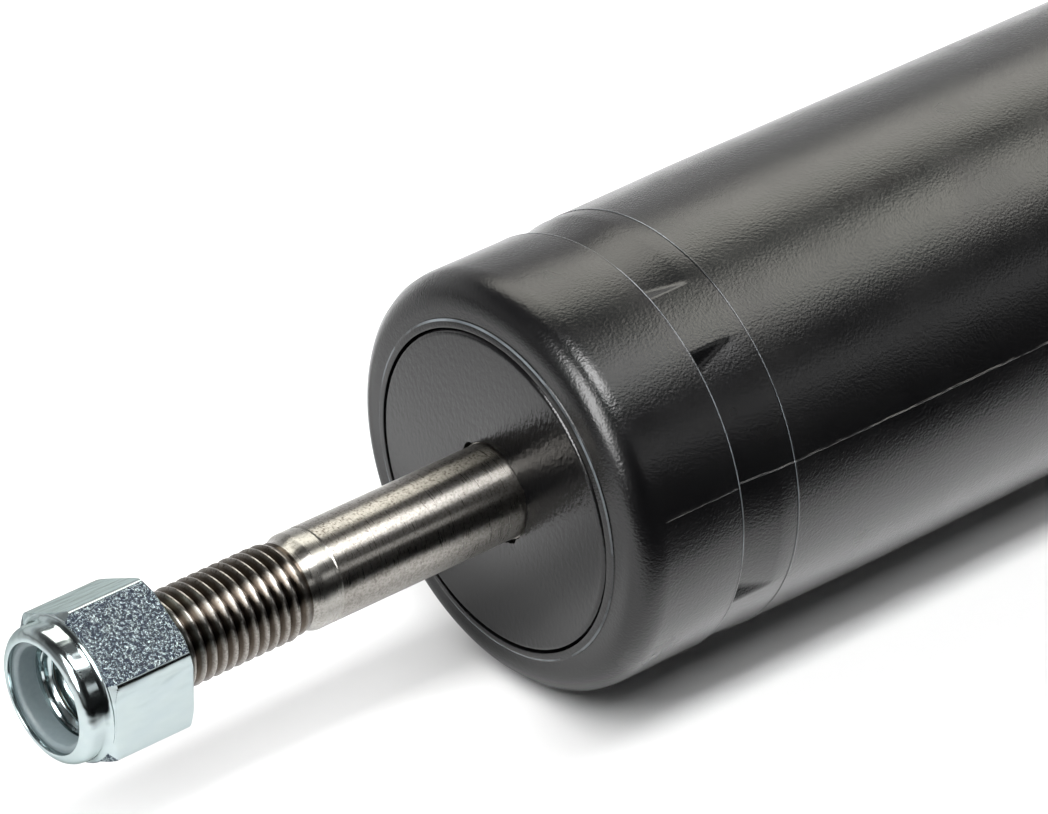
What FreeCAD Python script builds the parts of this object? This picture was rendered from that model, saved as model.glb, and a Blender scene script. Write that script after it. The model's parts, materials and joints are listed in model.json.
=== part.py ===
import FreeCAD, Part
import math
import os
import re

import Sketcher

# Telescopic twin-tube shock absorber, lying along X with its threaded stem towards +X.
# The origin is the centre of the eye at the foot, and the eye's bolt runs along Y.
# It stands at full extension: compression moves the rod and all that it carries towards -X.

# Driving sizes in millimetres, angles in degrees and plain counts.
SIZES = {
    # Fits: seated pieces, running pieces and the loose guiding of valve plates.
    "fit_gap": 0.02,
    "running_gap": 0.05,
    "plate_gap": 0.1,
    # Travel and the room kept at its two ends.
    "stroke": 145,
    "closing_gap": 9,
    "rebound_gap": 0.3,
    "closed_cover_gap": 4,
    # Eye, its rubber bush and its steel sleeve.
    "eye_ring_diameter": 38,
    "eye_ring_wall": 3.5,
    "eye_ring_width": 28,
    "eye_ring_edge": 0.6,
    "sleeve_diameter": 18,
    "sleeve_bore": 12.2,
    "sleeve_length": 38,
    "sleeve_chamfer": 0.6,
    "bush_width": 33,
    "bush_lip": 1.6,
    "bush_hollow": 3.4,
    # Base cap and the weld that carries the eye.
    "weld_height": 3,
    "weld_width": 16,
    "weld_length": 22,
    "base_wall": 2.5,
    "base_corner": 5,
    "base_skirt": 14,
    "base_showing": 8,
    # Reservoir and pressure tube.
    "reserve_gap": 6,
    "reservoir_wall": 1.5,
    "reservoir_roll": 3,
    "reservoir_mouth": 31,
    "tube_bore": 30,
    "tube_wall": 1.5,
    # Base valve.
    "foot_height": 6,
    "foot_ring_width": 2,
    "foot_slot": 6,
    "foot_count": 4,
    "base_flange": 4,
    "base_spigot": 4.5,
    "base_hub_diameter": 16.6,
    "base_hub_height": 2,
    "bolt_diameter": 5,
    "bolt_head_diameter": 8.5,
    "bolt_head_height": 3,
    "bolt_nut_flats": 8,
    "bolt_nut_height": 4,
    "bolt_showing": 1,
    "compression_disc": 16,
    "compression_backing": 12,
    "disc_thickness": 0.4,
    "intake_plate_clearance": 1.5,
    "intake_port": 3,
    "intake_port_inset": 3.8,
    "bleed_port": 2,
    "bleed_port_circle": 12,
    "port_count": 6,
    # Finger springs of the two check valves.
    "finger_thickness": 0.4,
    "finger_inset": 3.5,
    "finger_slot": 3.2,
    # Piston, its band and its check valve.
    "piston_clearance": 0.3,
    "piston_seat_diameter": 20,
    "piston_chamfer_length": 3,
    "band_width": 9,
    "band_shoulder": 3.5,
    "band_thickness": 1.2,
    "compression_port": 3,
    "compression_port_inset": 3.1,
    "rebound_port": 2.2,
    "rebound_port_circle": 15.4,
    "port_channel_width": 3.6,
    "port_channel_depth": 1.2,
    "port_margin": 0.1,
    "notch_diameter": 3,
    "check_land": 0.3,
    "plate_thickness": 0.8,
    "valve_sleeve_diameter": 13,
    "valve_sleeve_length": 2.6,
    "check_stop_diameter": 20,
    "check_stop_thickness": 2,
    # Rebound valve under the piston.
    "rebound_backing": 17,
    "spring_seat_rim": 0.2,
    "spring_seat_thickness": 1.6,
    "spring_seat_lip": 1,
    "spring_wire": 2,
    "spring_clearance": 0.7,
    "spring_height": 12,
    "spring_turns": 4,
    "nose_diameter": 12.6,
    "valve_nut_rim": 0.5,
    "valve_nut_flange_thickness": 2,
    "valve_nut_flats": 15,
    "valve_nut_height": 6,
    # Piston rod.
    "rod_diameter": 12.4,
    "spigot_diameter": 10,
    "spigot_chamfer": 0.8,
    "spigot_showing": 1.25,
    "stop_spacing": 30,
    "stop_diameter": 20,
    "stop_thickness": 4,
    "stop_groove_depth": 0.8,
    "stop_groove_width": 2,
    "bumper_diameter": 22,
    "bumper_length": 8,
    "bumper_round": 1.5,
    # Rod guide, its bush, O-ring and seal.
    "guide_spigot": 9,
    "guide_flange": 16,
    "guide_bush_wall": 0.95,
    "guide_bush_length": 12,
    "oring_section": 2,
    "oring_groove_width": 2.6,
    "oring_place": 5,
    "drain_hole": 2.5,
    "drain_inset": 4,
    "drain_count": 4,
    "seal_diameter": 28,
    "seal_depth": 7,
    "seal_channel_depth": 4.5,
    "seal_lip_wall": 1.9,
    "seal_rim_wall": 2,
    "garter_section": 1.6,
    "garter_place": 1.6,
    "dust_lip_height": 3,
    "dust_lip_wall": 1.2,
    "seal_washer_thickness": 2,
    "seal_washer_bore": 17,
    # Stem above the cup.
    "stem_diameter": 12,
    "stem_shank_length": 29.3,
    "stem_shoulder_length": 1.2,
    "stem_relief_depth": 0.45,
    "stem_relief_length": 0.6,
    "stem_thread_drop": 0.075,
    "stem_thread_length": 26.8,
    "stem_chamfer": 1,
    # Pressed cup on the rod.
    "cup_wall": 2,
    "cup_skirt_wall": 1.5,
    "cup_corner": 2.4,
    "cup_ledge": 4.68,
    "cup_disc_round": 1.4,
    "cup_weld": 2.6,
    # Dust cover.
    "cover_clearance": 1.2,
    "cap_step": 0.3,
    "cover_wall": 1.8,
    "cover_overlap": 30,
    "cover_mouth_chamfer": 0.6,
    "cap_length": 15.5,
    "cap_corner": 4,
    "cover_lip_gap": 0.3,
    "cover_lip_width": 1.1,
    "cover_lip_land": 0.4,
    "cover_lip_rise": 0.4,
    "cover_lip_slope": 0.25,
    "disc_rise": 0.5,
    "groove_depth": 1.1,
    "groove_length": 8.3,
    "groove_taper": 6.2,
    "bead_length": 1.8,
    "bead_gap": 0.2,
    "bridge_angle": 16.6,
    "bridge_ramp": 5,
    "bridge_sink": 0.1,
    "bridge_count": 4,
    "cover_turn": -30,
    # Lock nut with its nylon ring.
    "nut_flats": 18,
    "nut_hex_height": 11.3,
    "nut_height": 14.6,
    "nut_corner_cut": 1,
    "nut_chamfer_angle": 30,
    "nut_collar_inset": 0.6,
    "nut_collar_wall": 0.9,
    "nut_collar_round": 1.5,
    "nut_shoulder": 0.5,
    "nut_lip_cover": 0.7,
    "nut_lip_thickness": 0.7,
    "nut_countersink": 0.9,
    "insert_thickness": 2.7,
    "nut_started": 7.1,
    "nut_angle": -1.6,
}

# Places along X and radii that follow from the driving sizes.
PLACES = {
    "eye_radius": "eye_ring_diameter / 2",
    "eye_bore_radius": "eye_radius - eye_ring_wall",
    "sleeve_radius": "sleeve_diameter / 2",
    "base_face": "eye_radius + weld_height",
    "base_floor": "base_face + base_wall",
    "valve_seat": "base_floor + foot_height",
    "tube_foot": "valve_seat + base_flange",
    "base_top": "tube_foot + base_spigot",
    "hub_top": "base_top + base_hub_height",
    "bolt_nut_foot": "hub_top + finger_thickness",
    "bolt_end": "bolt_nut_foot + bolt_nut_height + bolt_showing",
    "bolt_stack": "2 * disc_thickness",
    "nose_length": "2 * disc_thickness + spring_seat_thickness + spring_height",
    "rod_end": "bolt_end + closing_gap + stroke",
    "valve_nut_foot": "rod_end + spigot_showing",
    "valve_nut_seat": "valve_nut_foot + valve_nut_height + valve_nut_flange_thickness",
    "piston_foot": "valve_nut_seat + nose_length",
    "piston_top": "piston_foot + piston_length",
    "sleeve_top": "piston_top + valve_sleeve_length",
    "check_stop_foot": "sleeve_top + finger_thickness",
    "rod_shoulder": "check_stop_foot + check_stop_thickness",
    "stop_foot": "rod_shoulder + stop_spacing",
    "bumper_foot": "stop_foot + stop_thickness",
    "guide_foot": "bumper_foot + bumper_length + rebound_gap",
    "tube_top": "guide_foot + guide_spigot",
    "guide_top": "tube_top + guide_flange",
    "washer_top": "guide_top + seal_washer_thickness",
    "reservoir_foot": "base_face + base_showing",
    "reservoir_top": "washer_top + reservoir_wall",
    "disc_face": "reservoir_top + stroke + closed_cover_gap + groove_length + cap_length + disc_rise",
    "stem_shoulder": "disc_face + stem_shank_length",
    "thread_foot": "stem_shoulder + stem_shoulder_length + stem_relief_length",
    "stem_tip": "thread_foot + stem_thread_length",
    "nut_foot": "stem_tip - nut_started",
    "cover_face": "disc_face - disc_rise",
    "cover_mouth": "reservoir_top - cover_overlap",
    "cover_length": "cover_face - cover_mouth",
    "cup_height": "cap_length + disc_rise",
    "rod_radius": "rod_diameter / 2",
    "spigot_radius": "spigot_diameter / 2",
    "stem_radius": "stem_diameter / 2",
    "thread_radius": "stem_radius - stem_thread_drop",
    "relief_radius": "stem_radius - stem_relief_depth",
    "bolt_radius": "bolt_diameter / 2",
    "nose_radius": "nose_diameter / 2",
    "tube_radius": "tube_bore / 2",
    "reservoir_bore": "tube_radius + tube_wall + reserve_gap",
    "reservoir_radius": "reservoir_bore + reservoir_wall",
    "intake_port_circle": "2 * (tube_radius - intake_port_inset)",
    "finger_reach": "tube_radius - finger_inset",
    "guide_bush_radius": "rod_radius + running_gap + guide_bush_wall",
    "drain_circle": "2 * (reservoir_bore - drain_inset)",
    "seal_radius": "seal_diameter / 2",
    "seal_lip_radius": "rod_radius + running_gap + seal_lip_wall",
    "oring_groove_radius": "reservoir_bore - oring_section - 2 * fit_gap",
    "piston_length": "band_width + 2 * band_shoulder",
    "piston_radius": "tube_radius - piston_clearance",
    "compression_port_circle": "2 * (piston_radius - compression_port_inset)",
    "spring_diameter": "nose_diameter + 2 * (spring_clearance + spring_wire)",
    "band_radius": "tube_radius - running_gap",
    "band_bore": "band_radius - band_thickness",
    "cover_bore": "reservoir_radius + cover_clearance",
    "cover_radius": "cover_bore + cover_wall",
    "cap_radius": "cover_radius - cap_step",
    "cap_bore": "cap_radius - cover_wall",
    "groove_radius": "cap_radius - groove_depth",
    "bead_radius": "cap_bore - groove_depth",
    "cup_radius": "cap_bore - fit_gap",
    "cup_step": "disc_rise + cover_wall + fit_gap",
    "cup_disc_radius": "cup_radius - cup_ledge",
    "nut_corner": "nut_flats / sqrt(3)",
    "nut_face_radius": "nut_corner - nut_corner_cut",
    "nut_collar_radius": "nut_flats / 2 - nut_collar_inset",
    "insert_radius": "nut_collar_radius - nut_collar_wall",
    "nut_lip_radius": "insert_radius - nut_lip_cover",
    "nut_bore": "thread_radius + running_gap",
}

doc = FreeCAD.newDocument("shock_absorber")


def make_sheet(name, cells, formula):
    """Fill a spreadsheet with one aliased cell for each named value."""
    sheet = doc.addObject("Spreadsheet::Sheet", name)
    for row, (alias, content) in enumerate(cells.items(), start=1):
        sheet.set(f"A{row}", alias)
        sheet.set(f"B{row}", formula(content))
        sheet.setAlias(f"B{row}", alias)
    doc.recompute()
    return sheet


HOME = {name: f"Sizes.{name}" for name in SIZES}
HOME.update({name: f"Places.{name}" for name in PLACES})


def bound(text):
    """Write an expression with each named value prefixed by the sheet that holds it."""
    return re.sub(r"[a-z][a-z_]*", lambda word: HOME.get(word.group(), word.group()), text)


sizes = make_sheet("Sizes", SIZES, str)
places = make_sheet("Places", PLACES, lambda text: "=" + bound(text))


def value(text):
    """Number that an expression of named values gives now."""
    return float(places.evalExpression(bound(text)))


# Sketch and feature helpers

def new_body(name, x="0"):
    """Body of one sub-part, placed along X by an expression."""
    body = doc.addObject("PartDesign::Body", name)
    body.Label = name
    body.setExpression("Placement.Base.x", bound(x))
    return body


def origin_feature(body, role):
    """Plane or axis of a body's own origin."""
    return next(item for item in body.Origin.OriginFeatures if item.Role == role)


def new_sketch(body, name, plane, offset=None):
    """Sketch on one of the body's origin planes, or lifted off it by an expression."""
    sketch = body.newObject("Sketcher::SketchObject", name)
    sketch.AttachmentSupport = [(origin_feature(body, plane), "")]
    sketch.MapMode = "FlatFace"
    if offset:
        sketch.setExpression("AttachmentOffset.Base.z", bound(offset))
    return sketch


def bind(sketch, kind, first, second, text):
    """Dimension between two sketch points, or of one curve, driven by an expression."""
    number = value(text)
    if number < 0:
        first, second = second, first
        text = f"-({text})"
    index = sketch.addConstraint(Sketcher.Constraint(kind, *first, *second, abs(number)))
    sketch.renameConstraint(index, f"{kind.lower()}_{index}")
    sketch.setExpression(f"Constraints.{kind.lower()}_{index}", bound(text))


SKETCH_ORIGIN = (-1, 1)
HORIZONTAL, VERTICAL = -1, -2


def fix_point(sketch, point, across, up):
    """Hold a sketch point at two expressions; zero puts it on an axis."""
    for kind, text, axis in (("DistanceX", across, VERTICAL), ("DistanceY", up, HORIZONTAL)):
        if abs(value(text)) < 1e-9:
            sketch.addConstraint(Sketcher.Constraint("PointOnObject", *point, axis))
        else:
            bind(sketch, kind, SKETCH_ORIGIN, point, text)


def outline(body, name, plane, corners, offset=None):
    """Closed sketch through (across, up) or (across, up, fillet radius) corners, all expressions."""
    sketch = new_sketch(body, name, plane, offset)
    count = len(corners)
    spots = [FreeCAD.Vector(value(corner[0]), value(corner[1]), 0) for corner in corners]
    before, after, arcs = {}, {}, {}
    for i, corner in enumerate(corners):
        before[i] = after[i] = spots[i]
        if len(corner) == 3:
            radius = value(corner[2])
            back = (spots[i - 1] - spots[i]).normalize()
            ahead = (spots[(i + 1) % count] - spots[i]).normalize()
            half = back.getAngle(ahead) / 2
            before[i] = spots[i] + back * (radius / math.tan(half))
            after[i] = spots[i] + ahead * (radius / math.tan(half))
            centre = spots[i] + (back + ahead).normalize() * (radius / math.sin(half))
            left_turn = back.cross(ahead).z < 0
            start, end = (before[i], after[i]) if left_turn else (after[i], before[i])
            turn = [math.atan2(p.y - centre.y, p.x - centre.x) for p in (start, end)]
            circle = Part.Circle(centre, FreeCAD.Vector(0, 0, 1), radius)
            arcs[i] = (Part.ArcOfCircle(circle, *turn), left_turn)
    lines = [
        sketch.addGeometry(Part.LineSegment(after[i], before[(i + 1) % count]), False)
        for i in range(count)
    ]
    for i, corner in enumerate(corners):
        arriving, leaving = lines[i - 1], lines[i]
        if i not in arcs:
            sketch.addConstraint(Sketcher.Constraint("Coincident", arriving, 2, leaving, 1))
            fix_point(sketch, (leaving, 1), corner[0], corner[1])
            continue
        curve, left_turn = arcs[i]
        arc = sketch.addGeometry(curve, False)
        sharp = sketch.addGeometry(Part.Point(spots[i]), True)
        entry, exit_ = (1, 2) if left_turn else (2, 1)
        sketch.addConstraint(Sketcher.Constraint("Tangent", arriving, 2, arc, entry))
        sketch.addConstraint(Sketcher.Constraint("Tangent", arc, exit_, leaving, 1))
        bind(sketch, "Radius", (arc,), (), corner[2])
        sketch.addConstraint(Sketcher.Constraint("PointOnObject", sharp, 1, arriving))
        sketch.addConstraint(Sketcher.Constraint("PointOnObject", sharp, 1, leaving))
        fix_point(sketch, (sharp, 1), corner[0], corner[1])
    return sketch


def feature(body, kind, sketch, **settings):
    """Feature that works on a sketch, with plain settings or expressions given as text."""
    item = body.newObject(f"PartDesign::{kind}", f"{sketch.Name}_{kind.lower()}")
    item.Profile = sketch
    for name, setting in settings.items():
        if isinstance(setting, str) and name not in ("Type", "Mode"):
            item.setExpression(name, bound(setting))
        else:
            setattr(item, name, setting)
    return item


def turned(body, corners, kind="Revolution", name="section", plane="XZ_Plane", axis="H_Axis"):
    """Revolve a section about the body's own axis, to add or to cut."""
    sketch = outline(body, f"{body.Name}_{name}", plane, corners)
    return feature(body, kind, sketch, ReferenceAxis=(sketch, [axis]), Angle=360)


def around(body, original, count):
    """Repeat a feature round the X axis."""
    doc.recompute()
    pattern = body.newObject("PartDesign::PolarPattern", f"{original.Name}_pattern")
    pattern.Originals = [original]
    pattern.Axis = (origin_feature(body, "X_Axis"), [""])
    pattern.Angle = 360
    pattern.setExpression("Occurrences", bound(count))
    body.Tip = pattern
    return pattern


def ports(body, name, circle, diameter, count):
    """Round ports along X on a pitch circle, right through the body."""
    sketch = new_sketch(body, f"{body.Name}_{name}", "YZ_Plane")
    spot = FreeCAD.Vector(value(circle) / 2, 0, 0)
    hole = Part.Circle(spot, FreeCAD.Vector(0, 0, 1), value(diameter) / 2)
    edge = sketch.addGeometry(hole, False)
    fix_point(sketch, (edge, 3), f"{circle} / 2", "0")
    bind(sketch, "Radius", (edge,), (), f"({diameter}) / 2")
    cut = feature(body, "Pocket", sketch, Type="ThroughAll", Midplane=True)
    return around(body, cut, count)


def slots(body, name, near, far, width, count, depth=None):
    """Straight slots from one radius out to another, through the body or to a depth along +X."""
    box = [
        (near, f"-{width} / 2"),
        (far, f"-{width} / 2"),
        (far, f"{width} / 2"),
        (near, f"{width} / 2"),
    ]
    sketch = outline(body, f"{body.Name}_{name}", "YZ_Plane", box)
    if depth:
        cut = feature(body, "Pocket", sketch, Length=depth, Reversed=True)
    else:
        cut = feature(body, "Pocket", sketch, Type="ThroughAll", Midplane=True)
    return around(body, cut, count)


def hexagon(body, name, across_flats, length):
    """Hexagonal bar along +X with a corner at the top."""
    corner = f"{across_flats} / sqrt(3)"
    corners = [
        (f"{corner} * cos({angle} deg)", f"{corner} * sin({angle} deg)")
        for angle in range(90, 450, 60)
    ]
    sketch = outline(body, f"{body.Name}_{name}", "YZ_Plane", corners)
    return feature(body, "Pad", sketch, Length=length)


def washer(name, x, bore_radius, outer_radius, thickness):
    """Flat ring round the X axis."""
    body = new_body(name, x)
    turned(body, [
        ("0", bore_radius),
        ("0", outer_radius),
        (thickness, outer_radius),
        (thickness, bore_radius),
    ])
    return body


def ring(name, x, centre_radius, section_radius):
    """Torus round the X axis."""
    torus = doc.addObject("Part::Torus", name)
    torus.Label = name
    torus.setExpression("Radius1", bound(centre_radius))
    torus.setExpression("Radius2", bound(section_radius))
    torus.Placement.Rotation = FreeCAD.Rotation(FreeCAD.Vector(0, 1, 0), 90)
    torus.setExpression("Placement.Base.x", bound(x))
    return torus


# Eye at the foot

def cross_body(name, width):
    """Body whose section is turned about Y, centred on the eye."""
    body = new_body(name)
    body.setExpression("Placement.Base.y", bound(f"-{width} / 2"))
    return body


def turned_across(body, corners):
    """Revolve a section of (radius, place along Y) corners about Y."""
    return turned(body, corners, plane="XY_Plane", axis="V_Axis")


def eye_ring():
    body = cross_body("eye_ring", "eye_ring_width")
    turned_across(body, [
        ("eye_bore_radius", "0"),
        ("eye_radius - eye_ring_edge", "0"),
        ("eye_radius", "eye_ring_edge"),
        ("eye_radius", "eye_ring_width - eye_ring_edge"),
        ("eye_radius - eye_ring_edge", "eye_ring_width"),
        ("eye_bore_radius", "eye_ring_width"),
    ])
    return body


def eye_bush():
    body = cross_body("eye_bush", "bush_width")
    inner = "sleeve_radius + running_gap"
    outer = "eye_bore_radius - fit_gap"
    lip = "sleeve_radius + running_gap + bush_lip"
    rim = "(bush_width - eye_ring_width) / 2"
    middle = "(sleeve_radius + eye_bore_radius + bush_lip) / 2"
    turned_across(body, [
        (inner, "0"),
        (lip, "0"),
        (middle, "bush_hollow"),
        (outer, rim),
        (outer, f"bush_width - {rim}"),
        (middle, "bush_width - bush_hollow"),
        (lip, "bush_width"),
        (inner, "bush_width"),
    ])
    return body


def eye_sleeve():
    body = cross_body("eye_sleeve", "sleeve_length")
    turned_across(body, [
        ("sleeve_bore / 2", "0"),
        ("sleeve_radius - sleeve_chamfer", "0"),
        ("sleeve_radius", "sleeve_chamfer"),
        ("sleeve_radius", "sleeve_length - sleeve_chamfer"),
        ("sleeve_radius - sleeve_chamfer", "sleeve_length"),
        ("sleeve_bore / 2", "sleeve_length"),
    ])
    return body


# Tubes and their ends

def base_cap():
    """Drawn cup that closes the reservoir, with the weld saddle that carries the eye."""
    body = new_body("base_cap", "base_face")
    outer = "reservoir_bore - fit_gap"
    turned(body, [
        ("0", "0"),
        ("0", outer, "base_corner"),
        ("base_skirt", outer),
        ("base_skirt", f"{outer} - base_wall"),
        ("base_wall", f"{outer} - base_wall", "base_corner - base_wall"),
        ("base_wall", "0"),
    ])
    block = outline(body, "weld_block", "YZ_Plane", [
        ("-weld_length / 2", "-weld_width / 2"),
        ("weld_length / 2", "-weld_width / 2"),
        ("weld_length / 2", "weld_width / 2"),
        ("-weld_length / 2", "weld_width / 2"),
    ])
    reach = "base_face - sqrt(eye_radius * eye_radius - weld_width * weld_width / 4) + fit_gap"
    feature(body, "Pad", block, Length=reach, Reversed=True)
    saddle = new_sketch(body, "weld_saddle", "XZ_Plane")
    spot = FreeCAD.Vector(-value("base_face"), 0, 0)
    circle = Part.Circle(spot, FreeCAD.Vector(0, 0, 1), value("eye_radius"))
    edge = saddle.addGeometry(circle, False)
    fix_point(saddle, (edge, 3), "-base_face", "0")
    bind(saddle, "Radius", (edge,), (), "eye_radius + fit_gap")
    feature(body, "Pocket", saddle, Type="ThroughAll", Midplane=True)
    return body


def reservoir_tube():
    """Outer tube, rolled in over the seal washer at its upper end."""
    body = new_body("reservoir_tube", "reservoir_foot")
    length = "(reservoir_top - reservoir_foot)"
    turned(body, [
        ("0", "reservoir_bore"),
        ("0", "reservoir_radius"),
        (length, "reservoir_radius", "reservoir_roll"),
        (length, "reservoir_mouth / 2"),
        (f"{length} - reservoir_wall", "reservoir_mouth / 2"),
        (f"{length} - reservoir_wall", "reservoir_bore"),
    ])
    return body


def pressure_tube():
    body = new_body("pressure_tube", "tube_foot")
    length = "tube_top - tube_foot"
    turned(body, [
        ("0", "tube_radius"),
        ("0", "tube_radius + tube_wall"),
        (length, "tube_radius + tube_wall"),
        (length, "tube_radius"),
    ])
    return body


# Base valve

def base_valve_body():
    """Seat plate on castellated feet, with an outer ring of intake ports and an inner ring of bleeds."""
    body = new_body("base_valve_body", "base_floor")
    bore = "bolt_radius + fit_gap"
    foot_outer = "tube_radius"
    flange = "foot_height + base_flange"
    turned(body, [
        ("foot_height", bore),
        ("foot_height", f"{foot_outer} - foot_ring_width"),
        ("0", f"{foot_outer} - foot_ring_width"),
        ("0", foot_outer),
        ("foot_height", foot_outer),
        ("foot_height", "tube_radius + tube_wall"),
        (flange, "tube_radius + tube_wall"),
        (flange, "tube_radius - fit_gap"),
        (f"{flange} + base_spigot", "tube_radius - fit_gap"),
        (f"{flange} + base_spigot", "base_hub_diameter / 2"),
        (f"{flange} + base_spigot + base_hub_height", "base_hub_diameter / 2"),
        (f"{flange} + base_spigot + base_hub_height", bore),
    ])
    ports(body, "intake_ports", "intake_port_circle", "intake_port", "port_count")
    ports(body, "bleed_ports", "bleed_port_circle", "bleed_port", "port_count")
    slots(body, "foot_slots", f"{foot_outer} - 2 * foot_ring_width", f"{foot_outer} + foot_ring_width",
          "foot_slot", "foot_count", "foot_height")
    return body


def base_valve_bolt():
    head = "bolt_head_height"
    body = new_body("base_valve_bolt", "valve_seat - bolt_stack - bolt_head_height")
    end = "(bolt_end - valve_seat + bolt_stack + bolt_head_height)"
    turned(body, [
        ("0", "0"),
        ("0", "bolt_head_diameter / 2"),
        (head, "bolt_head_diameter / 2"),
        (head, "bolt_radius"),
        (end, "bolt_radius"),
        (end, "0"),
    ])
    return body


def bored_hexagon(name, x, across_flats, height, bore):
    """Plain hexagonal nut on a stud."""
    body = new_body(name, x)
    hexagon(body, "hexagon", across_flats, height)
    turned(body, [
        ("0", "0"),
        ("0", bore),
        (height, bore),
        (height, "0"),
    ], kind="Groove", name="bore")
    return body


def finger_spring(name, x, bore, clamp_radius, drop):
    """Clamped spring ring with fingers that press a valve plate down onto its seat."""
    body = new_body(name, x)
    turned(body, [
        ("0", bore),
        ("0", clamp_radius),
        (f"-({drop})", "finger_reach"),
        (f"finger_thickness - ({drop})", "finger_reach"),
        ("finger_thickness", clamp_radius),
        ("finger_thickness", bore),
    ])
    slots(body, "finger_slots", clamp_radius, "finger_reach + finger_slot", "finger_slot", "port_count")
    return body


def intake_spring(bore):
    """Finger spring of the intake plate, holed above the base valve's bleeds."""
    drop = "base_hub_height - plate_thickness - fit_gap"
    body = finger_spring("intake_spring", "hub_top", bore, "base_hub_diameter / 2", drop)
    ports(body, "bleed_holes", "bleed_port_circle", "bleed_port + 2 * plate_gap", "port_count")
    return body


def base_valve():
    bore = "bolt_radius + fit_gap"
    plate_bore = "base_hub_diameter / 2 + plate_gap"
    return [
        base_valve_body(),
        base_valve_bolt(),
        bored_hexagon("base_valve_nut", "bolt_nut_foot", "bolt_nut_flats", "bolt_nut_height", bore),
        washer("compression_disc", "valve_seat - disc_thickness", bore, "compression_disc / 2",
               "disc_thickness"),
        washer("compression_backing_disc", "valve_seat - bolt_stack", bore, "compression_backing / 2",
               "disc_thickness"),
        washer("intake_plate", "base_top", plate_bore, "tube_radius - intake_plate_clearance",
               "plate_thickness"),
        intake_spring(bore),
    ]


# Rod guide and seal

def rod_guide():
    """Guide that closes the pressure tube and centres the rod, with the seal's recess in its top."""
    body = new_body("rod_guide", "guide_foot")
    bore = "guide_bush_radius + fit_gap"
    rim = "reservoir_bore - fit_gap"
    top = "(guide_spigot + guide_flange)"
    groove = "(guide_spigot + oring_place)"
    turned(body, [
        ("0", bore),
        ("0", "tube_radius - fit_gap"),
        ("guide_spigot", "tube_radius - fit_gap"),
        ("guide_spigot", rim),
        (f"{groove} - oring_groove_width / 2", rim),
        (f"{groove} - oring_groove_width / 2", "oring_groove_radius"),
        (f"{groove} + oring_groove_width / 2", "oring_groove_radius"),
        (f"{groove} + oring_groove_width / 2", rim),
        (top, rim),
        (top, "seal_radius + fit_gap"),
        (f"{top} - seal_depth", "seal_radius + fit_gap"),
        (f"{top} - seal_depth", bore),
    ])
    ports(body, "drain_holes", "drain_circle", "drain_hole", "drain_count")
    return body


def rod_seal():
    """Rubber seal with a main lip, a channel for its garter spring and a dust lip above the washer."""
    body = new_body("rod_seal", "guide_top - seal_depth")
    lip = "rod_radius + running_gap"
    rim = "seal_radius - seal_rim_wall"
    shoulder = "(seal_washer_bore / 2 - fit_gap)"
    tip = "(seal_depth + seal_washer_thickness + dust_lip_height)"
    turned(body, [
        ("0", lip),
        ("0", "seal_lip_radius"),
        ("seal_channel_depth", "seal_lip_radius"),
        ("seal_channel_depth", rim),
        ("0", rim),
        ("0", "seal_radius"),
        ("seal_depth", "seal_radius"),
        ("seal_depth", shoulder),
        ("seal_depth + seal_washer_thickness", shoulder),
        (tip, f"{lip} + dust_lip_wall"),
        (tip, lip),
    ])
    return body


def rod_guide_group():
    return [
        rod_guide(),
        washer("guide_bush", "guide_foot", "rod_radius + running_gap", "guide_bush_radius",
               "guide_bush_length"),
        ring("guide_o_ring", "tube_top + oring_place", "oring_groove_radius + oring_section / 2 + fit_gap",
             "oring_section / 2"),
        rod_seal(),
        ring("garter_spring", "guide_top - seal_depth + garter_place",
             "seal_lip_radius + garter_section / 2 + fit_gap", "garter_section / 2"),
        washer("seal_washer", "guide_top", "seal_washer_bore / 2", "reservoir_bore - fit_gap",
               "seal_washer_thickness"),
    ]


# Rod and the pieces that it carries

def piston_rod():
    """Ground rod with the piston's spigot at its foot and the threaded stem at its head."""
    body = new_body("piston_rod", "rod_end")
    shoulder = "rod_shoulder - rod_end"
    groove = "(stop_foot - rod_end + stop_thickness / 2)"
    stem = "(stem_shoulder - rod_end)"
    relief = f"{stem} + stem_shoulder_length"
    thread = "(thread_foot - rod_end)"
    tip = "(stem_tip - rod_end)"
    turned(body, [
        ("0", "0"),
        ("0", "spigot_radius - spigot_chamfer"),
        ("spigot_chamfer", "spigot_radius"),
        (shoulder, "spigot_radius"),
        (shoulder, "rod_radius"),
        (f"{groove} - stop_groove_width / 2", "rod_radius"),
        (f"{groove} - stop_groove_width / 2", "rod_radius - stop_groove_depth"),
        (f"{groove} + stop_groove_width / 2", "rod_radius - stop_groove_depth"),
        (f"{groove} + stop_groove_width / 2", "rod_radius"),
        ("disc_face - rod_end", "rod_radius"),
        ("disc_face - rod_end", "stem_radius"),
        (stem, "stem_radius"),
        (relief, "relief_radius"),
        (thread, "relief_radius"),
        (f"{thread} + thread_radius - relief_radius", "thread_radius"),
        (f"{tip} - stem_chamfer", "thread_radius"),
        (tip, "thread_radius - stem_chamfer"),
        (tip, "0"),
    ])
    return body


def rebound_stop():
    """Ring staked into the rod's groove."""
    body = new_body("rebound_stop", "stop_foot")
    bore = "rod_radius + fit_gap"
    rib = "rod_radius - stop_groove_depth + fit_gap"
    low = "stop_thickness / 2 - stop_groove_width / 2 + fit_gap"
    high = "stop_thickness / 2 + stop_groove_width / 2 - fit_gap"
    turned(body, [
        ("0", bore),
        ("0", "stop_diameter / 2"),
        ("stop_thickness", "stop_diameter / 2"),
        ("stop_thickness", bore),
        (high, bore),
        (high, rib),
        (low, rib),
        (low, bore),
    ])
    return body


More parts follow.
